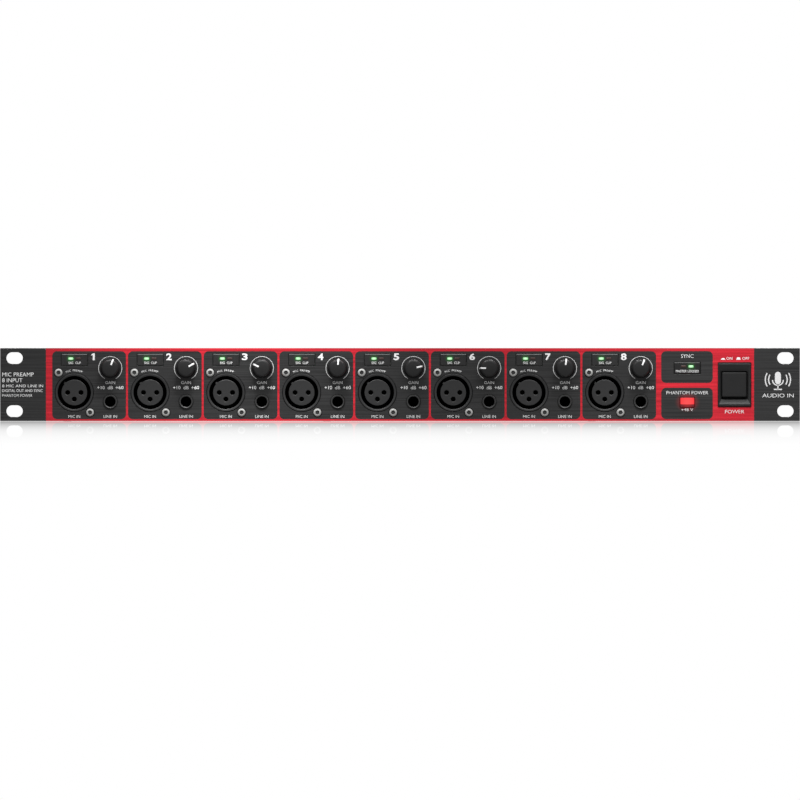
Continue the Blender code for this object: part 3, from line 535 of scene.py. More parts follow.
def make_channel_print(i):
    """A channel's number, labels and gain scale."""
    bm = bmesh.new()
    mic_x, mic_z = MIC[i]
    line_x, _ = LINE[i]
    knob_x, _, knob_z = KNOB[i]
    gain_x = knob_x - mic_x
    numeral(bm, i, 11.45, 38.8)
    scale_arc(bm, gain_x, knob_z)
    letters(bm, "GAIN", gain_x, 23.2, 1.75, 5.9)
    for words, shift, width in (("+10", -5.6, 4.5), ("dB", 0.0, 3.2), ("+60", 5.6, 4.7)):
        letters(bm, words, gain_x + shift, 20.2, 2.0, width, bold=0.01)
    letters(bm, "LINE IN", line_x - mic_x, 2.75, 1.65, 8.1, slot=1)
    letters(bm, "MIC IN", 0.0, 2.75, 1.65, 7.1, slot=1)
    arc_letters(bm, "MIC PREAMP", 0.0, mic_z, 13.4, 20.0, 1.1)
    where = (mic_x, FACE - PRINT_LIFT, 0)
    place(f"channel_{i}_print", bm, ["white_ink", "label_ink"], "front", where)


def trapezoid(x, y, bottom, top, height):
    """The sign of a button that is in or out."""
    return [
        (x - bottom / 2, y - height / 2),
        (x + bottom / 2, y - height / 2),
        (x + top / 2, y + height / 2),
        (x - top / 2, y + height / 2),
    ]


def make_right_print():
    """Labels of the sync lamps and the two switches."""
    bm = bmesh.new()
    letters(bm, "SYNC", SYNC_X, 39.2, 2.2, 7.5, bold=-0.01)
    letters(bm, "PHANTOM POWER", SYNC_X, 17.1, 2.0, 25.2, bold=-0.01)
    letters(bm, "+48 V", SYNC_X, 6.9, 1.75, 7.2, slot=1)
    on_red = PRINT_DEPTH
    letters(bm, "POWER", POWER_X, 5.7, 2.1, 11.6, bold=-0.008, z=on_red)
    letters(bm, "ON", POWER_X - 3.2, 37.8, 1.6, 3.6, z=on_red)
    letters(bm, "OFF", POWER_X + 6.7, 37.8, 1.6, 4.2, z=on_red)
    plate(bm, [trapezoid(POWER_X - 7.0, 37.5, 2.8, 1.5, 1.0)], on_red, on_red + PRINT_DEPTH)
    plate(bm, [trapezoid(POWER_X + 2.3, 37.75, 2.8, 1.6, 1.5)], on_red, on_red + PRINT_DEPTH)
    where = (0, FACE - PRINT_LIFT, 0)
    place("switch_print", bm, ["white_ink", "label_ink"], "front", where)


def make_ear_prints():
    """Generic words on the left ear, and a microphone sign on the right one."""
    lines = (
        ("MIC PREAMP", 28.1, 2.4, 19.0, 0.0),
        ("8 INPUT", 24.6, 2.4, 12.2, 0.0),
        ("8 MIC AND LINE IN", 21.2, 1.65, 24.7, 0.0),
        ("DIGITAL OUT AND SYNC", 18.35, 1.65, 24.4, 0.0),
        ("PHANTOM POWER", 15.4, 1.65, 18.2, -0.008),
    )
    where = (0, FACE - PRINT_LIFT, 0)
    bm = bmesh.new()
    for words, z, cap, width, bold in lines:
        letters(bm, words, -240.0, z, cap, width, bold=bold, centred=False)
    place("left_ear_print", bm, ["white_ink"], "front", where)
    bm = bmesh.new()
    x, z = 228.0, 24.4
    head = rounded(x, z + 1.6, 3.6, 7.4, 1.79, 8)
    cradle = arc(x, z + 0.4, 3.6, 180, 360, 24) + arc(x, z + 0.4, 2.9, 360, 180, 24)
    stem = rounded(x, z - 4.0, 0.7, 2.6, 0.05)
    foot = rounded(x, z - 5.3, 5.0, 0.7, 0.3)
    plate(bm, [head], 0.0, PRINT_DEPTH)
    plate(bm, [cradle, stem, foot], 0.0, PRINT_DEPTH)
    for side in (0, 180):
        for radius in (5.6, 7.6):
            wave = arc(x, z + 0.6, radius + 0.35, side - 32, side + 32, 16)
            wave += arc(x, z + 0.6, radius - 0.35, side + 32, side - 32, 16)
            plate(bm, [wave], 0.0, PRINT_DEPTH)
    letters(bm, "AUDIO IN", x, 15.4, 2.3, 19.0)
    place("right_ear_print", bm, ["label_ink"], "front", where)


# Lamps and their windows

LAMP_SIZE = (3.1, 1.32)
LAMP_DEPTH = 0.4  # a lamp's origin behind the panel's face
LAMPS = {"signal": -2.2, "clip": 2.25}  # places across a channel's window
LAMP_RISE = 0.7  # above the middle of a channel's window
SYNC_LAMP_RISE = 1.0
# A lamp's light in its pane is painted: an emission glow in the pane round the lamp.
LAMP_GLOW = ((0.8, 3.6), 0.1)  # reach and strength of a lamp's light in its pane
GREEN = (0.05, 0.6, 0.06)


def make_lamp(name, x, z, finish_name):
    """A small lens with a sloping edge."""
    bm = bmesh.new()
    width, height = LAMP_SIZE
    rings = [
        (width, height, 0.4, -0.1),
        (width, height, 0.4, 0.02),
        (width - 0.6, height - 0.6, 0.3, 0.28),
        (width * 0.4, height * 0.3, 0.1, 0.3),
    ]
    stacked(bm, rings)
    place(name, bm, [finish_name], "front", (x, FACE - LAMP_DEPTH, z))


def make_pane(name, x, z, finish_name, words, replaces=()):
    """A smoked pane that stands a little out of the panel, with its two labels."""
    bm = bmesh.new()
    width, height = PANE_SIZE
    front = 0.4
    rings = [
        (width, height, 0.35, -5.0),
        (width, height, 0.35, -0.15),
        (width - 1.1, height - 1.1, 0.2, front),
    ]
    stacked(bm, rings)
    for word, offset, wide in words:
        letters(bm, word, offset, -1.85, 1.45, wide, z=front, bold=0.015, slot=1)
    place(name, bm, [finish_name, "grey_ink"], "front", (x, FACE, z), replaces=replaces)


def make_windows():
    """The panes and lamps of the channels and of the sync window. The first lamp of a channel is lit."""
    # Painted light: a green emission glow in each pane round its lit lamp.
    halo(materials["lens_lit_left"], GREEN, (LAMPS["signal"], LAMP_RISE, 0.4), *LAMP_GLOW)
    halo(materials["lens_lit_right"], GREEN, (LAMPS["clip"], SYNC_LAMP_RISE, 0.4), *LAMP_GLOW)
    for i in CHANNELS:
        x = MIC[i][0] + METER[0]
        words = (("SIG", LAMPS["signal"], 2.9), ("CLIP", LAMPS["clip"] - 0.05, 3.4))
        make_pane(f"meter_pane_{i}", x, METER[1], "lens_lit_left", words)
        make_lamp(f"signal_lamp_{i}", x + LAMPS["signal"], METER[1] + LAMP_RISE, "green_lamp")
        make_lamp(f"clip_lamp_{i}", x + LAMPS["clip"], METER[1] + LAMP_RISE, "dark_lamp")
    words = (("MASTER", -3.6, 6.6), ("LOCKED", 3.6, 6.6))
    make_pane("sync_pane", SYNC_X, SYNC_WINDOW_Z, "lens_lit_right", words, ["meter_lens"])
    make_lamp("master_lamp", SYNC_X + LAMPS["signal"], SYNC_WINDOW_Z + SYNC_LAMP_RISE, "dark_lamp")
    make_lamp("locked_lamp", SYNC_X + LAMPS["clip"], SYNC_WINDOW_Z + SYNC_LAMP_RISE, "green_lamp")


# Sockets, screws and controls on the front


def screw_mesh(name, radius, rise, recess):
    """A button-head screw with a star recess, over a thin dark ring that is a painted shadow round its head.
    """
    bm = bmesh.new()
    steps = 48
    head = [
        (radius * 0.55, -6.0),
        (radius * 0.55, 0.0),
        (radius, 0.0),
        (radius, rise * 0.3),
        (radius * 0.93, rise * 0.62),
        (radius * 0.78, rise * 0.88),
        (radius * 0.66, rise),
    ]
    rings = [ring(r, z, steps=steps) for r, z in head]
    rings.append(lobed_ring(recess, recess * 0.07, rise, steps))
    mouth = lobed_ring(recess * 0.95, recess * 0.07, rise - 0.15, steps)
    loft(bm, rings + [mouth], caps=(True, False))
    # The recess's sides and floor take the darker steel, as painted shade.
    loft(bm, [mouth, lobed_ring(recess * 0.9, recess * 0.06, rise - 0.7, steps)], slot=1, caps=(False, True))
    weld(bm)
    # Painted shadow: a thin near-black ring round the head, on the panel.
    washer = [(radius + 0.4, 0.0), (radius + 0.4, 0.09), (radius * 0.9, 0.09), (radius * 0.9, 0.0)]
    loft(bm, [ring(r, z, steps=steps) for r, z in washer], slot=2, closed=True)
    return to_mesh(name, bm, ["screw_steel", "recess_steel_painted_shade", "painted_shade_black"])


def reach_back(node):
    """How far a node reaches behind the panel's face, as a height."""
    return FACE - box_mm(node)[1].y


def make_mic_socket(i):
    """Rim, ring gap, insert with its key and three contact holes, and the body behind."""
    x, z = MIC[i]
    bm = bmesh.new()
    back = reach_back(f"mic_socket_{i}")
    insert, insert_face, insert_back = 7.7, -1.3, -14.0
    rim = [
        (11.5, back), (11.5, 0.05), (11.42, 0.28), (11.2, 0.5),
        (10.35, 0.5), (10.1, 0.38), (10.0, 0.0),
    ]
    turned(bm, rim, steps=FINE, caps=(True, False))
    # The groove's walls and floor are painted shade: near-black for the dark gap round the insert.
    groove = [
        (11.0, back + 1.0), (11.0, 0.0), (10.0, 0.05), (9.95, -0.2),
        (9.95, -15.0), (7.75, -15.0), (7.75, -0.9),
    ]
    turned(bm, groove, steps=FINE, slot=2, caps=(False, False))
    holes = [circle(cx, cy, 1.45, SMALL) for cx, cy in CONTACTS]
    plate(bm, [circle(0, 0, insert + 0.1, FINE)] + holes, insert_face - 0.1, -0.35, 0.25)
    # The insert behind its face is near-black as well, so the contact holes show painted shade.
    holes = [circle(cx, cy, 1.4, SMALL) for cx, cy in CONTACTS]
    plate(bm, [circle(0, 0, insert, FINE)] + holes, insert_back, insert_face, slot=2)
    key = Matrix.Rotation(math.radians(45), 4, "Z") @ Matrix.Translation((0, 8.05 * MM, 0))
    plate(bm, [rounded(0, 0, 1.3, 0.9, 0.2)], insert_back, -0.5, 0.1, matrix=key)
    screws = [circle(cx, cy, SCREW_HOLE, TINY) for cx, cy in MIC_SCREWS]
    plate(bm, [rounded(0, 0, 24.4, 29.2, 2.0), circle(0, 0, 11.45)] + screws, -4.6, -2.6, 0.2)
    # The contact tubes take a painted-shade near-black, for the shade inside the holes.
    tube = [(1.3, -14.5), (1.3, -10.2), (1.2, -10.0), (0.9, -10.2), (0.9, -13.0)]
    for cx, cy in CONTACTS:
        turned(bm, tube, cx, cy, 20, slot=1)
    place(f"mic_connector_{i}", bm, ["socket_plastic", "contact_painted_shade", "painted_shade_black"], "front", (x, FACE, z),
          replaces=[f"mic_socket_{i}"])
    for number, (dx, dz) in enumerate(MIC_SCREWS, start=1):
        place(f"mic_screw_{i}_{number}", SCREW, [], "front", (x + dx, FACE - 0.02, z + dz),
              turn=20.0 * i + 37.0 * number)


def make_line_socket(i):
    """A jack socket: a bush with a sloping lip, its bore, and the body behind."""
    x, z = LINE[i]
    bm = bmesh.new()
    back = reach_back(f"line_socket_{i}")
    bush = [
        (3.6, back + 0.3), (4.2, -2.4), (4.2, 0.8), (4.12, 1.15), (3.95, 1.35),
        (3.75, 1.38), (3.55, 1.32), (3.28, 1.15), (3.2, 0.9),
    ]
    turned(bm, bush, steps=64, caps=(True, False))
    # The bore's walls and floor are painted shade: near-black for the dark hole.
    bore = [(3.7, back + 1.0), (3.7, 0.7), (3.2, 0.9), (3.16, 0.8), (3.16, back + 3.0)]
    turned(bm, bore, steps=64, slot=1)
    plate(bm, [rounded(0, 0, 14.0, 14.0, 1.0), circle(0, 0, 3.9, 48)], back, -2.5, 0.3)
    place(f"line_jack_{i}", bm, ["bush_plastic", "painted_shade_black"], "front", (x, FACE, z),
          replaces=[f"line_socket_{i}"])


KNOB_PROFILE = [
    (2.0, -8.4), (2.0, 3.9), (4.6, 3.9), (4.6, 0.95), (4.75, 0.8), (5.85, 0.8), (6.0, 0.95), (5.97, 1.3),
    (5.1, 9.9), (4.98, 10.7), (4.75, 11.15), (4.4, 11.38), (4.0, 11.45), (3.7, 11.48), (2.4, 11.6),
    (0.8, 11.67),
]
KNOB_SIDE = KNOB_PROFILE[7:9]
KNOB_TOP = KNOB_PROFILE[7:]
POINTER_START = 2.0  # from the knob's axis
POINTER_TOP = 11.62
POINTER_WIDTH = 0.95
POINTER_FOOT = 4.5  # the height at which the pointer ends on the knob's side
POINTER_PROUD = 0.09


def pointer_path():
    """(distance from the axis, height) along the knob's top and down its side."""
    top = [(r, z) for r, z in reversed(KNOB_TOP) if r > POINTER_START]
    (r1, z1), (r2, z2) = KNOB_SIDE
    foot = r1 + (r2 - r1) * (POINTER_FOOT - z1) / (z2 - z1)
    return [(POINTER_START, POINTER_TOP)] + top[:-1] + [(foot, POINTER_FOOT)]


def add_pointer(bm, slot):
    """The white pointer: a strip set into the knob that follows its profile."""
    half = POINTER_WIDTH / 2
    section = ((-half, -1.0), (-half, 0.6), (0.1 - half, 1.0), (half - 0.1, 1.0), (half, 0.6), (half, -1.0))
    path = pointer_path()
    rows = []
    for index, (r, z) in enumerate(path):
        before, after = path[max(0, index - 1)], path[min(len(path) - 1, index + 1)]
        along = Vector((after[0] - before[0], after[1] - before[1])).normalized()
        out = Vector((-along.y, along.x)) * POINTER_PROUD
        rows.append([(across, r + out.x * lift, z + out.y * lift) for across, lift in section])
    loft(bm, rows, slot=slot)


def knob_mesh():
    """The knob, which all eight controls share."""
    bm = bmesh.new()
    turned(bm, KNOB_PROFILE, steps=FINE)
    # The side below 10 mm takes the knob's painted-lighter side colour, and the fillet its glossier edge
    # finish.
    for face in bm.faces:
        height = face.calc_center_median().z / MM
        if height < 10.0:
            face.material_index = 3
        elif face.normal.z < 0.95:
            face.material_index = 2
    add_pointer(bm, 1)
    bmesh.ops.recalc_face_normals(bm, faces=bm.faces)
    return to_mesh("gain_knob_shape", bm, ["knob_face_painted_dark", "white_ink", "knob_edge", "knob_side_painted_light"], 40.0)


def make_knobs():
    """The knobs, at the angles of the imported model's rest pose."""
    shape = knob_mesh()
    for i in CHANNELS:
        joint = JOINTS[f"gain_turn_{i}"]
        angle = -KNOB_TURN - joint["range_deg"][0]
        x, _, z = KNOB[i]
        place(f"gain_control_{i}", shape, [], "front", (x, FACE, z), body=f"gain_knob_{i}",
              replaces=[f"gain_knob_{i}"], turn=angle)


def make_power_bezel():
    """A frame whose mouth slopes in to the button's well."""
    bm = bmesh.new()
    back = reach_back("power_bezel")
    sizes = [
        (15.7, 17.0, 0.3, back, 0.0, -0.4),
        (19.0, 25.8, 0.5, back),
        (19.0, 25.8, 0.5, 0.3),
        (20.2, 27.0, 0.5, 0.3),
        (20.2, 27.0, 0.5, 0.6),
        (19.5, 25.5, 0.4, 0.7, 0.0, -0.1),
        (19.4, 25.3, 0.4, 1.15, 0.0, -0.1),
        (19.2, 24.9, 0.35, 1.3, 0.0, -0.1),
        (19.1, 24.0, 0.3, 1.3, 0.0, 0.3),
        (19.0, 23.8, 0.3, 1.2, 0.0, 0.3),
        (15.7, 17.0, 0.3, -1.3, 0.0, -0.4),
        (15.7, 17.0, 0.3, back, 0.0, -0.4),
    ]
    # The outer step is drawn in a painted shadow, the slopes in a painted-lighter plastic, and the well in
    # painted-shade black.
    edge, rim, slopes, well = sizes[:6], sizes[5:10], sizes[9:11], sizes[10:]
    for slot, part in enumerate((edge, rim, slopes, well)):
        stacked(bm, part, slot=slot, caps=(False, False))
    weld(bm)
    place("power_frame", bm, ["bezel_edge_painted_shadow", "black_plastic", "bezel_slope_painted_light", "painted_shade_black"], "front",
          (POWER_X - 0.1, FACE, POWER_Z), replaces=["power_bezel"])


def make_power_button():
    """A square cap with rounded edges and a slightly hollow face, on its stem."""
    bm = bmesh.new()
    cap = [
        (14.3, 14.4, 0.5, -9.5),
        (14.7, 14.8, 0.6, -9.0),
        (14.7, 14.8, 0.6, 0.2),
        (14.5, 14.6, 0.55, 0.55),
        (13.9, 14.0, 0.5, 0.78),
        (13.4, 13.5, 0.5, 0.8),
        (6.0, 6.0, 0.5, 0.62),
    ]
    stacked(bm, cap)
    stacked(bm, [(5.0, 5.0, 0.4, -21.9), (5.0, 5.0, 0.4, -9.2)])
    place("power_push_button", bm, ["button_plastic"], "front", (POWER_X - 0.2, FACE, POWER_Z),
          body="power_button", replaces=["power_button"])


def make_phantom_button():
    """A lit cap whose lower side slopes away from its face, on its stem."""
    bm = bmesh.new()
    sizes = [
        (8.6, 5.9, 0.6, -3.0),
        (8.6, 5.9, 0.6, 0.6),
        (8.5, 5.6, 0.6, 1.0, 0.0, 0.1),
        (8.4, 3.9, 0.5, 1.9, 0.0, 0.6),
        (8.0, 3.5, 0.45, 2.15, 0.0, 0.65),
        (5.6, 2.6, 0.4, 2.1, 0.0, 0.65),
    ]
    skirt, face = sizes[:4], sizes[3:]
    stacked(bm, skirt, slot=1, caps=(True, False))
    stacked(bm, face, caps=(False, True))
    weld(bm)
    stacked(bm, [(3.0, 3.0, 0.3, -11.9), (3.0, 3.0, 0.3, -2.8)], slot=1)
    place("phantom_push_button", bm, ["red_lamp", "red_skirt"], "front", (SYNC_X, FACE, PHANTOM_Z),
          body="phantom_button", replaces=["phantom_button"])


# Rear

REAR_Z = OUTPUT[1][1]
INLET = centre_mm("power_inlet")
CAVITY_Z = 5.7  # the middle of the plug's cavity, above the inlet's own
DRAWER_Z = -9.5
OPTICAL_X = centre_mm("optical_ports")[0]
PORTS = (-6.8, 6.8)  # places of the two optical mouths across their housing
PORT_REACH = 4.3
PORT_CUT = 2.7  # where a mouth's cut corners start
CLOCK_X = centre_mm("word_clock_socket")[0]
SYNC_SWITCH_X = centre_mm("sync_switch")[0]


def make_line_output(i):
    """A male three-pole socket: a flange with two screws, the shell, its key and three pins."""
    x, z = OUTPUT[i]
    bm = bmesh.new()
    flange_top, cavity_back = 1.9, -14.1
    screws = [circle(dx, dz, SCREW_HOLE, TINY) for dx, dz in MIC_SCREWS]
    plate(bm, [rounded(0, 0, 26.0, 31.0, 3.0), circle(0, 0, 10.8)] + screws, 0.3, flange_top, 0.3)
    shell = [
        (11.6, -22.0), (11.6, 0.5), (11.0, 0.5), (11.0, 1.95), (10.8, 2.15),
        (9.8, 2.15), (9.6, 1.95), (9.5, 1.6), (9.5, cavity_back),
    ]
    turned(bm, shell)
    plate(bm, [rounded(0, -9.2, 2.2, 1.1, 0.3)], cavity_back, 1.3, 0.15)
    pin = [(1.2, cavity_back - 1.0), (1.2, -1.9), (1.05, -1.45), (0.75, -1.2), (0.35, -1.1)]
    for cx, cy in CONTACTS:
        turned(bm, pin, cx, cy, 20, slot=1)
    place(f"output_connector_{i}", bm, ["black_plastic", "nickel"], "rear", (x, REAR, z),
          replaces=[f"line_output_{i}"])
    for number, (dx, dz) in enumerate(MIC_SCREWS, start=1):
        place(f"output_screw_{i}_{number}", SCREW, [], "rear", (x - dx, REAR + flange_top, z + dz),
              turn=25.0 * i + 50.0 * number)


def make_inlet():
    """The mains inlet: a flange round the plug's cavity and the drawer's seat, with three blades inside."""
    bm = bmesh.new()
    corner = 3.0
    right, top, low = 12.0, CAVITY_Z + 8.0, CAVITY_Z - 8.0
    cavity = [(-right, low), (right, low), (right, top - corner), (right - corner, top)]
    cavity += [(corner - right, top), (-right, top - corner)]
    body = rounded(0, 0, 28.0, 30.4, 1.0)
    seat = rounded(0, DRAWER_Z, 22.6, 7.6, 0.3)
    plate(bm, [rounded(0, 0, 31.0, 34.0, 2.5), cavity, seat], 0.3, 2.5, 0.35)
    plate(bm, [body, cavity, seat], -13.5, 0.4)
    plate(bm, [body], -20.0, -13.4, 0.3)
    for x, y in ((-7.0, CAVITY_Z - 1.0), (7.0, CAVITY_Z - 1.0), (0.0, CAVITY_Z + 3.0)):
        blade = [
            (2.0, 4.0, 0.25, -14.0, x, y, 3),
            (2.0, 4.0, 0.25, -1.3, x, y, 3),
            (1.7, 3.7, 0.2, -0.7, x, y, 3),
            (1.1, 3.1, 0.1, -0.5, x, y, 3),
        ]
        stacked(bm, blade, slot=1)
    place("mains_inlet", bm, ["black_plastic", "nickel"], "rear", (INLET[0], REAR, INLET[1]),
          replaces=["power_inlet"])


def make_fuse_drawer():
    """The drawer's body behind a front with a finger hole."""
    bm = bmesh.new()
    outline = rounded(0, 0, 22.0, 7.0, 0.5)
    plate(bm, [outline], -12.5, 2.2, 0.2)
    plate(bm, [outline, rounded(0, 0.6, 9.0, 2.6, 0.8)], 2.1, 3.1, 0.25)
    place("fuse_tray", bm, ["socket_plastic"], "rear", (INLET[0], REAR, INLET[1] + DRAWER_Z),
          body="fuse_drawer", replaces=["fuse_drawer"])


def make_optical():
    """Twin optical sockets in one housing, and the flaps that hang behind their mouths."""
    bm = bmesh.new()
    outline = rounded(0, 0, 27.0, 13.6, 0.6)
    reach, cut = PORT_REACH, PORT_CUT
    mouth = [(-reach, -reach), (reach, -reach), (reach, cut), (cut, reach), (-cut, reach), (-reach, cut)]
    mouths = [[(port + x, y) for x, y in mouth] for port in PORTS]
    cavities = [rounded(port, 0.45, 9.8, 10.9, 0.2, 2) for port in PORTS]
    plate(bm, [outline] + mouths, 0.2, 1.0, 0.2)
    plate(bm, [outline] + cavities, -11.5, 0.3)
    plate(bm, [outline], -14.0, -11.4, 0.2)
    window = [(2.6, -11.5), (2.6, -8.6), (2.4, -8.4), (1.1, -8.4), (1.0, -8.6), (1.0, -10.5)]
    for port in PORTS:
        turned(bm, window, port, 0.0, SMALL)
    place("optical_housing", bm, ["black_plastic"], "rear", (OPTICAL_X, REAR, REAR_Z),
          replaces=["optical_ports"])
    for name in ("in", "out"):
        x = centre_mm(f"optical_shutter_{name}")[0]
        bm = bmesh.new()
        flap = [
            (9.0, 9.9, 0.4, -0.9, 0.0, 0.35),
            (9.0, 9.9, 0.4, -0.3, 0.0, 0.35),
            (8.6, 9.5, 0.35, -0.1, 0.0, 0.35),
            (6.4, 6.4, 0.5, -0.1),
            (6.0, 6.0, 0.4, -0.3),
        ]
        stacked(bm, flap)
        place(f"optical_flap_{name}", bm, ["socket_plastic"], "rear", (x, REAR, REAR_Z),
              body=f"optical_shutter_{name}", replaces=[f"optical_shutter_{name}"])


def make_clock_socket():
    """A bayonet coaxial socket: nut and washer, threaded tube with two lugs, insulator and centre contact."""
    bm = bmesh.new()
    tube = [(4.8, -8.0), (4.8, 2.9)]
    for turn in range(5):
        tube += [(4.8, 3.0 + 0.6 * turn), (4.5, 3.3 + 0.6 * turn)]
    tube += [(4.8, 6.2), (4.8, 10.5), (4.6, 10.9), (4.4, 11.0), (4.15, 10.9), (4.0, 10.6), (4.0, 1.5)]
    turned(bm, tube)
    washer = [(7.9, 0.0), (7.9, 0.35), (7.7, 0.5), (4.7, 0.5), (4.7, 0.0)]
    loft(bm, [ring(radius, z) for radius, z in washer], closed=True)
    nut = [(7.6, 0.4), (7.6, 2.4), (7.0, 2.7), (5.0, 2.7), (4.7, 2.4), (4.7, 0.4)]
    loft(bm, [ring(radius, z, steps=6) for radius, z in nut], closed=True)
    for side in (-1, 1):
        lug = []
        for x, radius in ((4.2, 0.8), (5.4, 0.8), (5.6, 0.6)):
            lug.append([(side * x, y, 7.6 + side * z) for y, z in circle(0.0, 0.0, radius, 20)])
        loft(bm, lug)
    plate(bm, [rounded(0, 0, 13.0, 13.0, 1.0)], -14.0, -1.3, 0.4)
    turned(bm, [(2.3, 1.4), (2.3, 8.6), (2.05, 8.95), (0.85, 9.0), (0.8, 8.0)], slot=1, steps=SMALL)
    turned(bm, [(0.75, 1.4), (0.75, 8.5), (0.62, 8.7), (0.45, 8.6), (0.4, 6.0)], slot=2, steps=SMALL)
    place("bayonet_socket", bm, ["nickel", "insulator", "contact_gold"], "rear", (CLOCK_X, REAR, REAR_Z),
          replaces=["word_clock_socket"])


def make_sync_switch():
    """The slide switch behind its slot, and its ridged selector."""
    bm = bmesh.new()
    case = rounded(0, 0, 16.0, 7.0, 0.5)
    plate(bm, [case, rounded(0, 0, 10.4, 3.6, 0.2, 2)], -5.3, -1.3, 0.2)
    plate(bm, [case], -8.3, -5.2, 0.2)
    place("sync_switch_case", bm, ["socket_plastic"], "rear", (SYNC_SWITCH_X, REAR, REAR_Z),
          replaces=["sync_switch"])
    x, z = centre_mm("sync_selector")
    bm = bmesh.new()
    plate(bm, [rounded(0, 0, 3.6, 2.8, 0.3)], -4.9, 1.7, 0.25)
    for step in (-1.1, 0.0, 1.1):
        plate(bm, [rounded(step, 0, 0.6, 2.5, 0.1)], 1.4, 2.2, 0.15)
    place("sync_slider", bm, ["black_plastic"], "rear", (x, REAR, z), body="sync_selector",
          replaces=["sync_selector"])


def make_rear_print():
    """Labels on the rear wall. Seen from behind, x runs the other way."""
    bm = bmesh.new()
    cap = 1.9
    for i in CHANNELS:
        letters(bm, f"LINE OUT {i}", -OUTPUT[i][0], 39.6, cap, 15.0)
    for words, x, z, width in (
        ("OPTICAL", OPTICAL_X, 32.4, 11.0),
        ("IN", OPTICAL_X + PORTS[0], 12.3, 2.9),
        ("OUT", OPTICAL_X + PORTS[1], 12.3, 5.0),
        ("WORD CLOCK", CLOCK_X, 32.4, 17.0),
        ("SYNC", SYNC_SWITCH_X, 32.4, 7.0),
        ("INT", SYNC_SWITCH_X - 4.2, 16.4, 4.0),
        ("EXT", SYNC_SWITCH_X + 4.2, 16.4, 4.4),
        ("MAINS IN", INLET[0], 40.3, 13.0),
    ):
        letters(bm, words, -x, z, cap, width)
    place("rear_print", bm, ["white_ink"], "rear", (0, REAR + 0.005, 0))


# Cover and underside

COVER_LOW, COVER_HIGH = box_mm("top_cover")
SHEET = 1.0
BEND = 1.5
VENT_WIDTH = 2.6
VENT_END = VENT_WIDTH / 2 - 0.01
TOP_VENTS = (-188.0, 134.0)  # where each field of slots starts on top
TOP_VENT_DEPTH = 134.0  # the middle of those slots, behind the panel's face
SIDE_VENTS = 100.0  # where the slots in each side start, behind the panel's face
SIDE_VENT_Z = 22.0
SIDE_SCREWS = (18.0, 84.0, 190.0)  # behind the panel's face
SIDE_SCREW_Z = 34.0
FLOOR_SCREWS = [(x, depth) for x in (-205.0, -45.0, 118.0) for depth in (45.0, 172.0)]


def make_cover():
    """The folded lid: a slotted top, rounded bends, and slotted sides."""
    bm = bmesh.new()
    middle = (COVER_LOW.y + COVER_HIGH.y) / 2
    length = COVER_HIGH.y - COVER_LOW.y
    half, top = COVER_HIGH.x, COVER_HIGH.z
    outlines = [rounded(0, 0, 2 * (half - BEND) + 0.02, length, 0.05, 1)]
    for first in TOP_VENTS:
        for i in range(12):
            x = first + VENT_WIDTH / 2 + 6.0 * i
            outlines.append(rounded(x, FACE + TOP_VENT_DEPTH - middle, VENT_WIDTH, 60.0, VENT_END))
    plate(bm, outlines, -SHEET, 0.0, 0.12)
    tall = top - BEND - COVER_LOW.z
    for side in (-1, 1):
        turn = Matrix(((0, 0, side, side * (half - SHEET) * MM), (side, 0, 0, 0), (0, 1, 0, 0), (0, 0, 0, 1)))
        outlines = [rounded(0, -BEND - tall / 2, length, tall + 0.02, 0.05, 1)]
        for i in range(8):
            y = FACE + SIDE_VENTS + VENT_WIDTH / 2 + 8.0 * i - middle
            outlines.append(rounded(side * y, SIDE_VENT_Z - top, VENT_WIDTH, 20.0, VENT_END))
        plate(bm, outlines, 0.0, SHEET, 0.12, matrix=turn)
        section = arc(side * (half - BEND), -BEND, BEND, 90, 90 - 90 * side, 8)
        section += arc(side * (half - BEND), -BEND, BEND - SHEET, 90 - 90 * side, 90, 8)
        loft(bm, [[(x, y, z) for x, z in section[::side]] for y in (length / 2, -length / 2)])
    bmesh.ops.recalc_face_normals(bm, faces=bm.faces)
    place("cover_shell", bm, ["case_paint"], "top", (0, middle, top), replaces=["top_cover"])


def make_case_screws():
    """Low screws in the cover's sides and in the floor under the board's posts."""
    faces = (("left", COVER_LOW.x), ("right", COVER_HIGH.x))
    sides = [(side, x, depth) for side, x in faces for depth in SIDE_SCREWS]
    for number, (side, x, depth) in enumerate(sides, start=1):
        place(f"cover_screw_{number}", CASE_SCREW, [], side, (x, FACE + depth, SIDE_SCREW_Z),
              turn=40.0 * number)
    for number, (x, depth) in enumerate(FLOOR_SCREWS, start=1):
        place(f"floor_screw_{number}", FLOOR_SCREW, [], "bottom", (x, FACE + depth, 0.5),
              turn=35.0 * number)


make_panel()
make_red_field()
for channel in CHANNELS:
    make_channel_print(channel)
make_right_print()
make_ear_prints()
make_windows()
SCREW = screw_mesh("socket_screw", 2.4, 1.3, 1.3)
CASE_SCREW = screw_mesh("case_screw", 2.9, 0.8, 1.4)
FLOOR_SCREW = screw_mesh("floor_screw", 2.6, 0.45, 1.2)
for channel in CHANNELS:
    make_mic_socket(channel)
    make_line_socket(channel)
    make_line_output(channel)
make_knobs()
make_power_bezel()
make_power_button()
make_phantom_button()
make_inlet()
make_fuse_drawer()
make_optical()
make_clock_socket()
make_sync_switch()
make_rear_print()
make_cover()
make_case_screws()


# CAD nodes that stay as they are

KEPT = {
    "case_paint": ["chassis_tray"],
    "black_plastic": ["power_switch", "phantom_switch"],
    "nickel": [f"gain_pot_{i}" for i in CHANNELS],
    "circuit_board": ["front_board", "main_board"],
    "transformer_tape": ["power_transformer"],
}
for finish_name, names in KEPT.items():
    for name in names:
        node = frame["nodes"][name]
        node.data.materials.clear()
        node.data.materials.append(materials[finish_name])


# Floor, light and camera

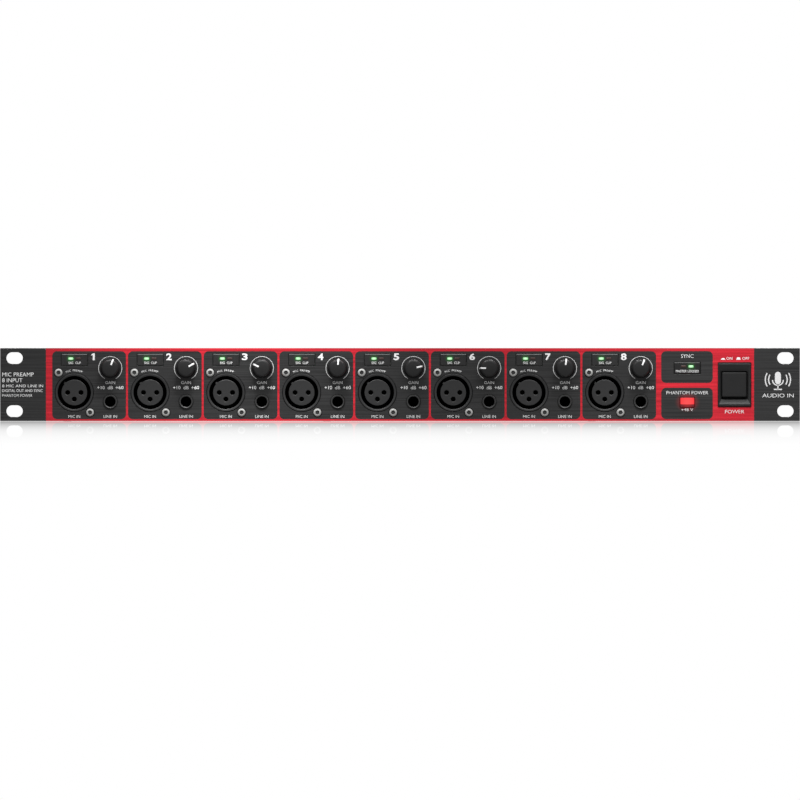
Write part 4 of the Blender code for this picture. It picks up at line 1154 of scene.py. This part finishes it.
VIEW_DISTANCE = 8000.0
VIEW_WIDTH = 482.65  # what the camera sees across, at the panel's face
CAMERA_Z = 12.7
SENSOR = 36.0
AMBIENT = 0.3  # light that reaches the object from all round, against the white it is seen on
FLOOR_LIGHT = 0.25  # light that the floor sends back to the object, against its own white
FLOOR_REACH = 12.0  # metres
MIRROR_START = 50.0  # where the mirror's fading starts, behind the panel's face
MIRROR_RUN = 5000.0  # the length that its stops are shares of, towards the camera
MIRROR_STOPS = (
    (0.0, 0.0), (0.008, 0.64), (0.046, 0.62), (0.115, 0.56), (0.178, 0.472), (0.237, 0.4),
    (0.341, 0.28), (0.429, 0.192), (0.507, 0.127), (0.575, 0.09), (0.688, 0.04), (0.85, 0.0),
)


def make_floor():
    """A pale floor that mirrors the object faintly, less the further it is from it."""
    mesh = bpy.data.meshes.new("floor")
    corners = [(x * FLOOR_REACH, y * FLOOR_REACH, 0) for x, y in ((-1, -1), (1, -1), (1, 1), (-1, 1))]
    mesh.from_pydata(corners, [], [(0, 1, 2, 3)])
    floor = bpy.data.objects.new("floor", mesh)
    floor.location.z = -0.0001
    bpy.context.scene.collection.objects.link(floor)
    made = bpy.data.materials.new("floor")
    made.use_nodes = True
    tree = made.node_tree
    tree.nodes.clear()
    split = add(tree, "SeparateXYZ")
    join(add(tree, "TexCoord"), "Object", split, "Vector")
    start = (FACE + MIRROR_START) * MM
    span = add(tree, "MapRange", From_Min=start, From_Max=start - MIRROR_RUN * MM)
    join(split, "Y", span, "Value")
    ramp = add(tree, "ValToRGB")
    while len(ramp.color_ramp.elements) < len(MIRROR_STOPS):
        ramp.color_ramp.elements.new(0.5)
    for element, (position, value) in zip(ramp.color_ramp.elements, MIRROR_STOPS):
        element.position = position
        element.color = (value, value, value, 1)
    join(span, "Result", ramp, "Fac")
    slant = add(tree, "MapRange", From_Min=0.85, To_Min=0.12)
    join(add(tree, "LayerWeight", Blend=0.5), "Facing", slant, "Value")
    share = add(tree, "Math")
    share.operation = "MULTIPLY"
    join(ramp, "Color", share, 0)
    join(slant, "Result", share, 1)
    lit = add(tree, "MapRange", To_Min=FLOOR_LIGHT)
    join(add(tree, "LightPath"), "Is Camera Ray", lit, "Value")
    matte = add(tree, "Emission", Color=(1, 1, 1, 1))
    join(lit, "Result", matte, "Strength")
    mix = add(tree, "MixShader")
    join(share, "Value", mix, "Fac")
    join(matte, "Emission", mix, 1)
    join(add(tree, "BsdfGlossy", Roughness=0.0, Color=(1, 1, 1, 1)), "BSDF", mix, 2)
    join(mix, "Shader", add(tree, "OutputMaterial"), "Surface")
    mesh.materials.append(made)


def make_world():
    """White to the camera and in mirrors, and dimmer as light on the object."""
    world = bpy.data.worlds.new("studio")
    bpy.context.scene.world = world
    world.use_nodes = True
    tree = world.node_tree
    background = tree.nodes["Background"]
    background.inputs["Color"].default_value = (1, 1, 1, 1)
    rays = add(tree, "LightPath")
    seen = add(tree, "Math")
    seen.operation = "MAXIMUM"
    join(rays, "Is Camera Ray", seen, 0)
    join(rays, "Is Singular Ray", seen, 1)
    span = add(tree, "MapRange", To_Min=AMBIENT, To_Max=1.0)
    join(seen, "Value", span, "Value")
    join(span, "Result", background, "Strength")


def hang(name, data, power, where, aim):
    """Hangs a lamp of a power in watts at a point, aimed at another, both in millimetres."""
    data.energy = power
    lamp = bpy.data.objects.new(name, data)
    lamp.location = Vector(where) * MM
    lamp.rotation_euler = (Vector(aim) - Vector(where)).to_track_quat("-Z", "Y").to_euler()
    bpy.context.scene.collection.objects.link(lamp)


def make_light(name, power, where, aim, width, depth):
    """A soft rectangular lamp."""
    data = bpy.data.lights.new(name, "AREA")
    data.shape = "RECTANGLE"
    data.size, data.size_y = width * MM, depth * MM
    hang(name, data, power, where, aim)


def make_spot(name, power, x):
    """A lamp with a soft cone, which brightens one stretch of the front."""
    data = bpy.data.lights.new(name, "SPOT")
    data.spot_size = math.radians(43.0)
    data.spot_blend = 1.0
    data.shadow_soft_size = 40.0 * MM
    hang(name, data, power, (x, FACE - 200, 290), (x, FACE, 24))


def make_camera():
    """A level camera, far enough away that the view is almost flat."""
    data = bpy.data.cameras.new("camera")
    data.sensor_width = SENSOR
    data.lens = SENSOR * VIEW_DISTANCE / VIEW_WIDTH
    data.clip_end = 100.0
    camera = bpy.data.objects.new("camera", data)
    camera.location = Vector((0, FACE - VIEW_DISTANCE, CAMERA_Z)) * MM
    camera.rotation_euler = (math.radians(90), 0, 0)
    bpy.context.scene.collection.objects.link(camera)
    bpy.context.scene.camera = camera


make_floor()
make_world()
make_light("front_key", 9.0, (30, FACE - 900, 850), (30, FACE, 20), 1200, 400)
make_light("overhead", 5.0, (0, FACE - 60, 700), (0, FACE - 60, 0), 1100, 260)
make_light("rear_key", 24.0, (0, REAR + 900, 700), (0, REAR, 20), 1200, 400)
make_spot("bright_left", 3.4, -92)
make_spot("bright_right", 2.4, 178)
make_camera()
bpy.context.scene.view_settings.view_transform = "Standard"
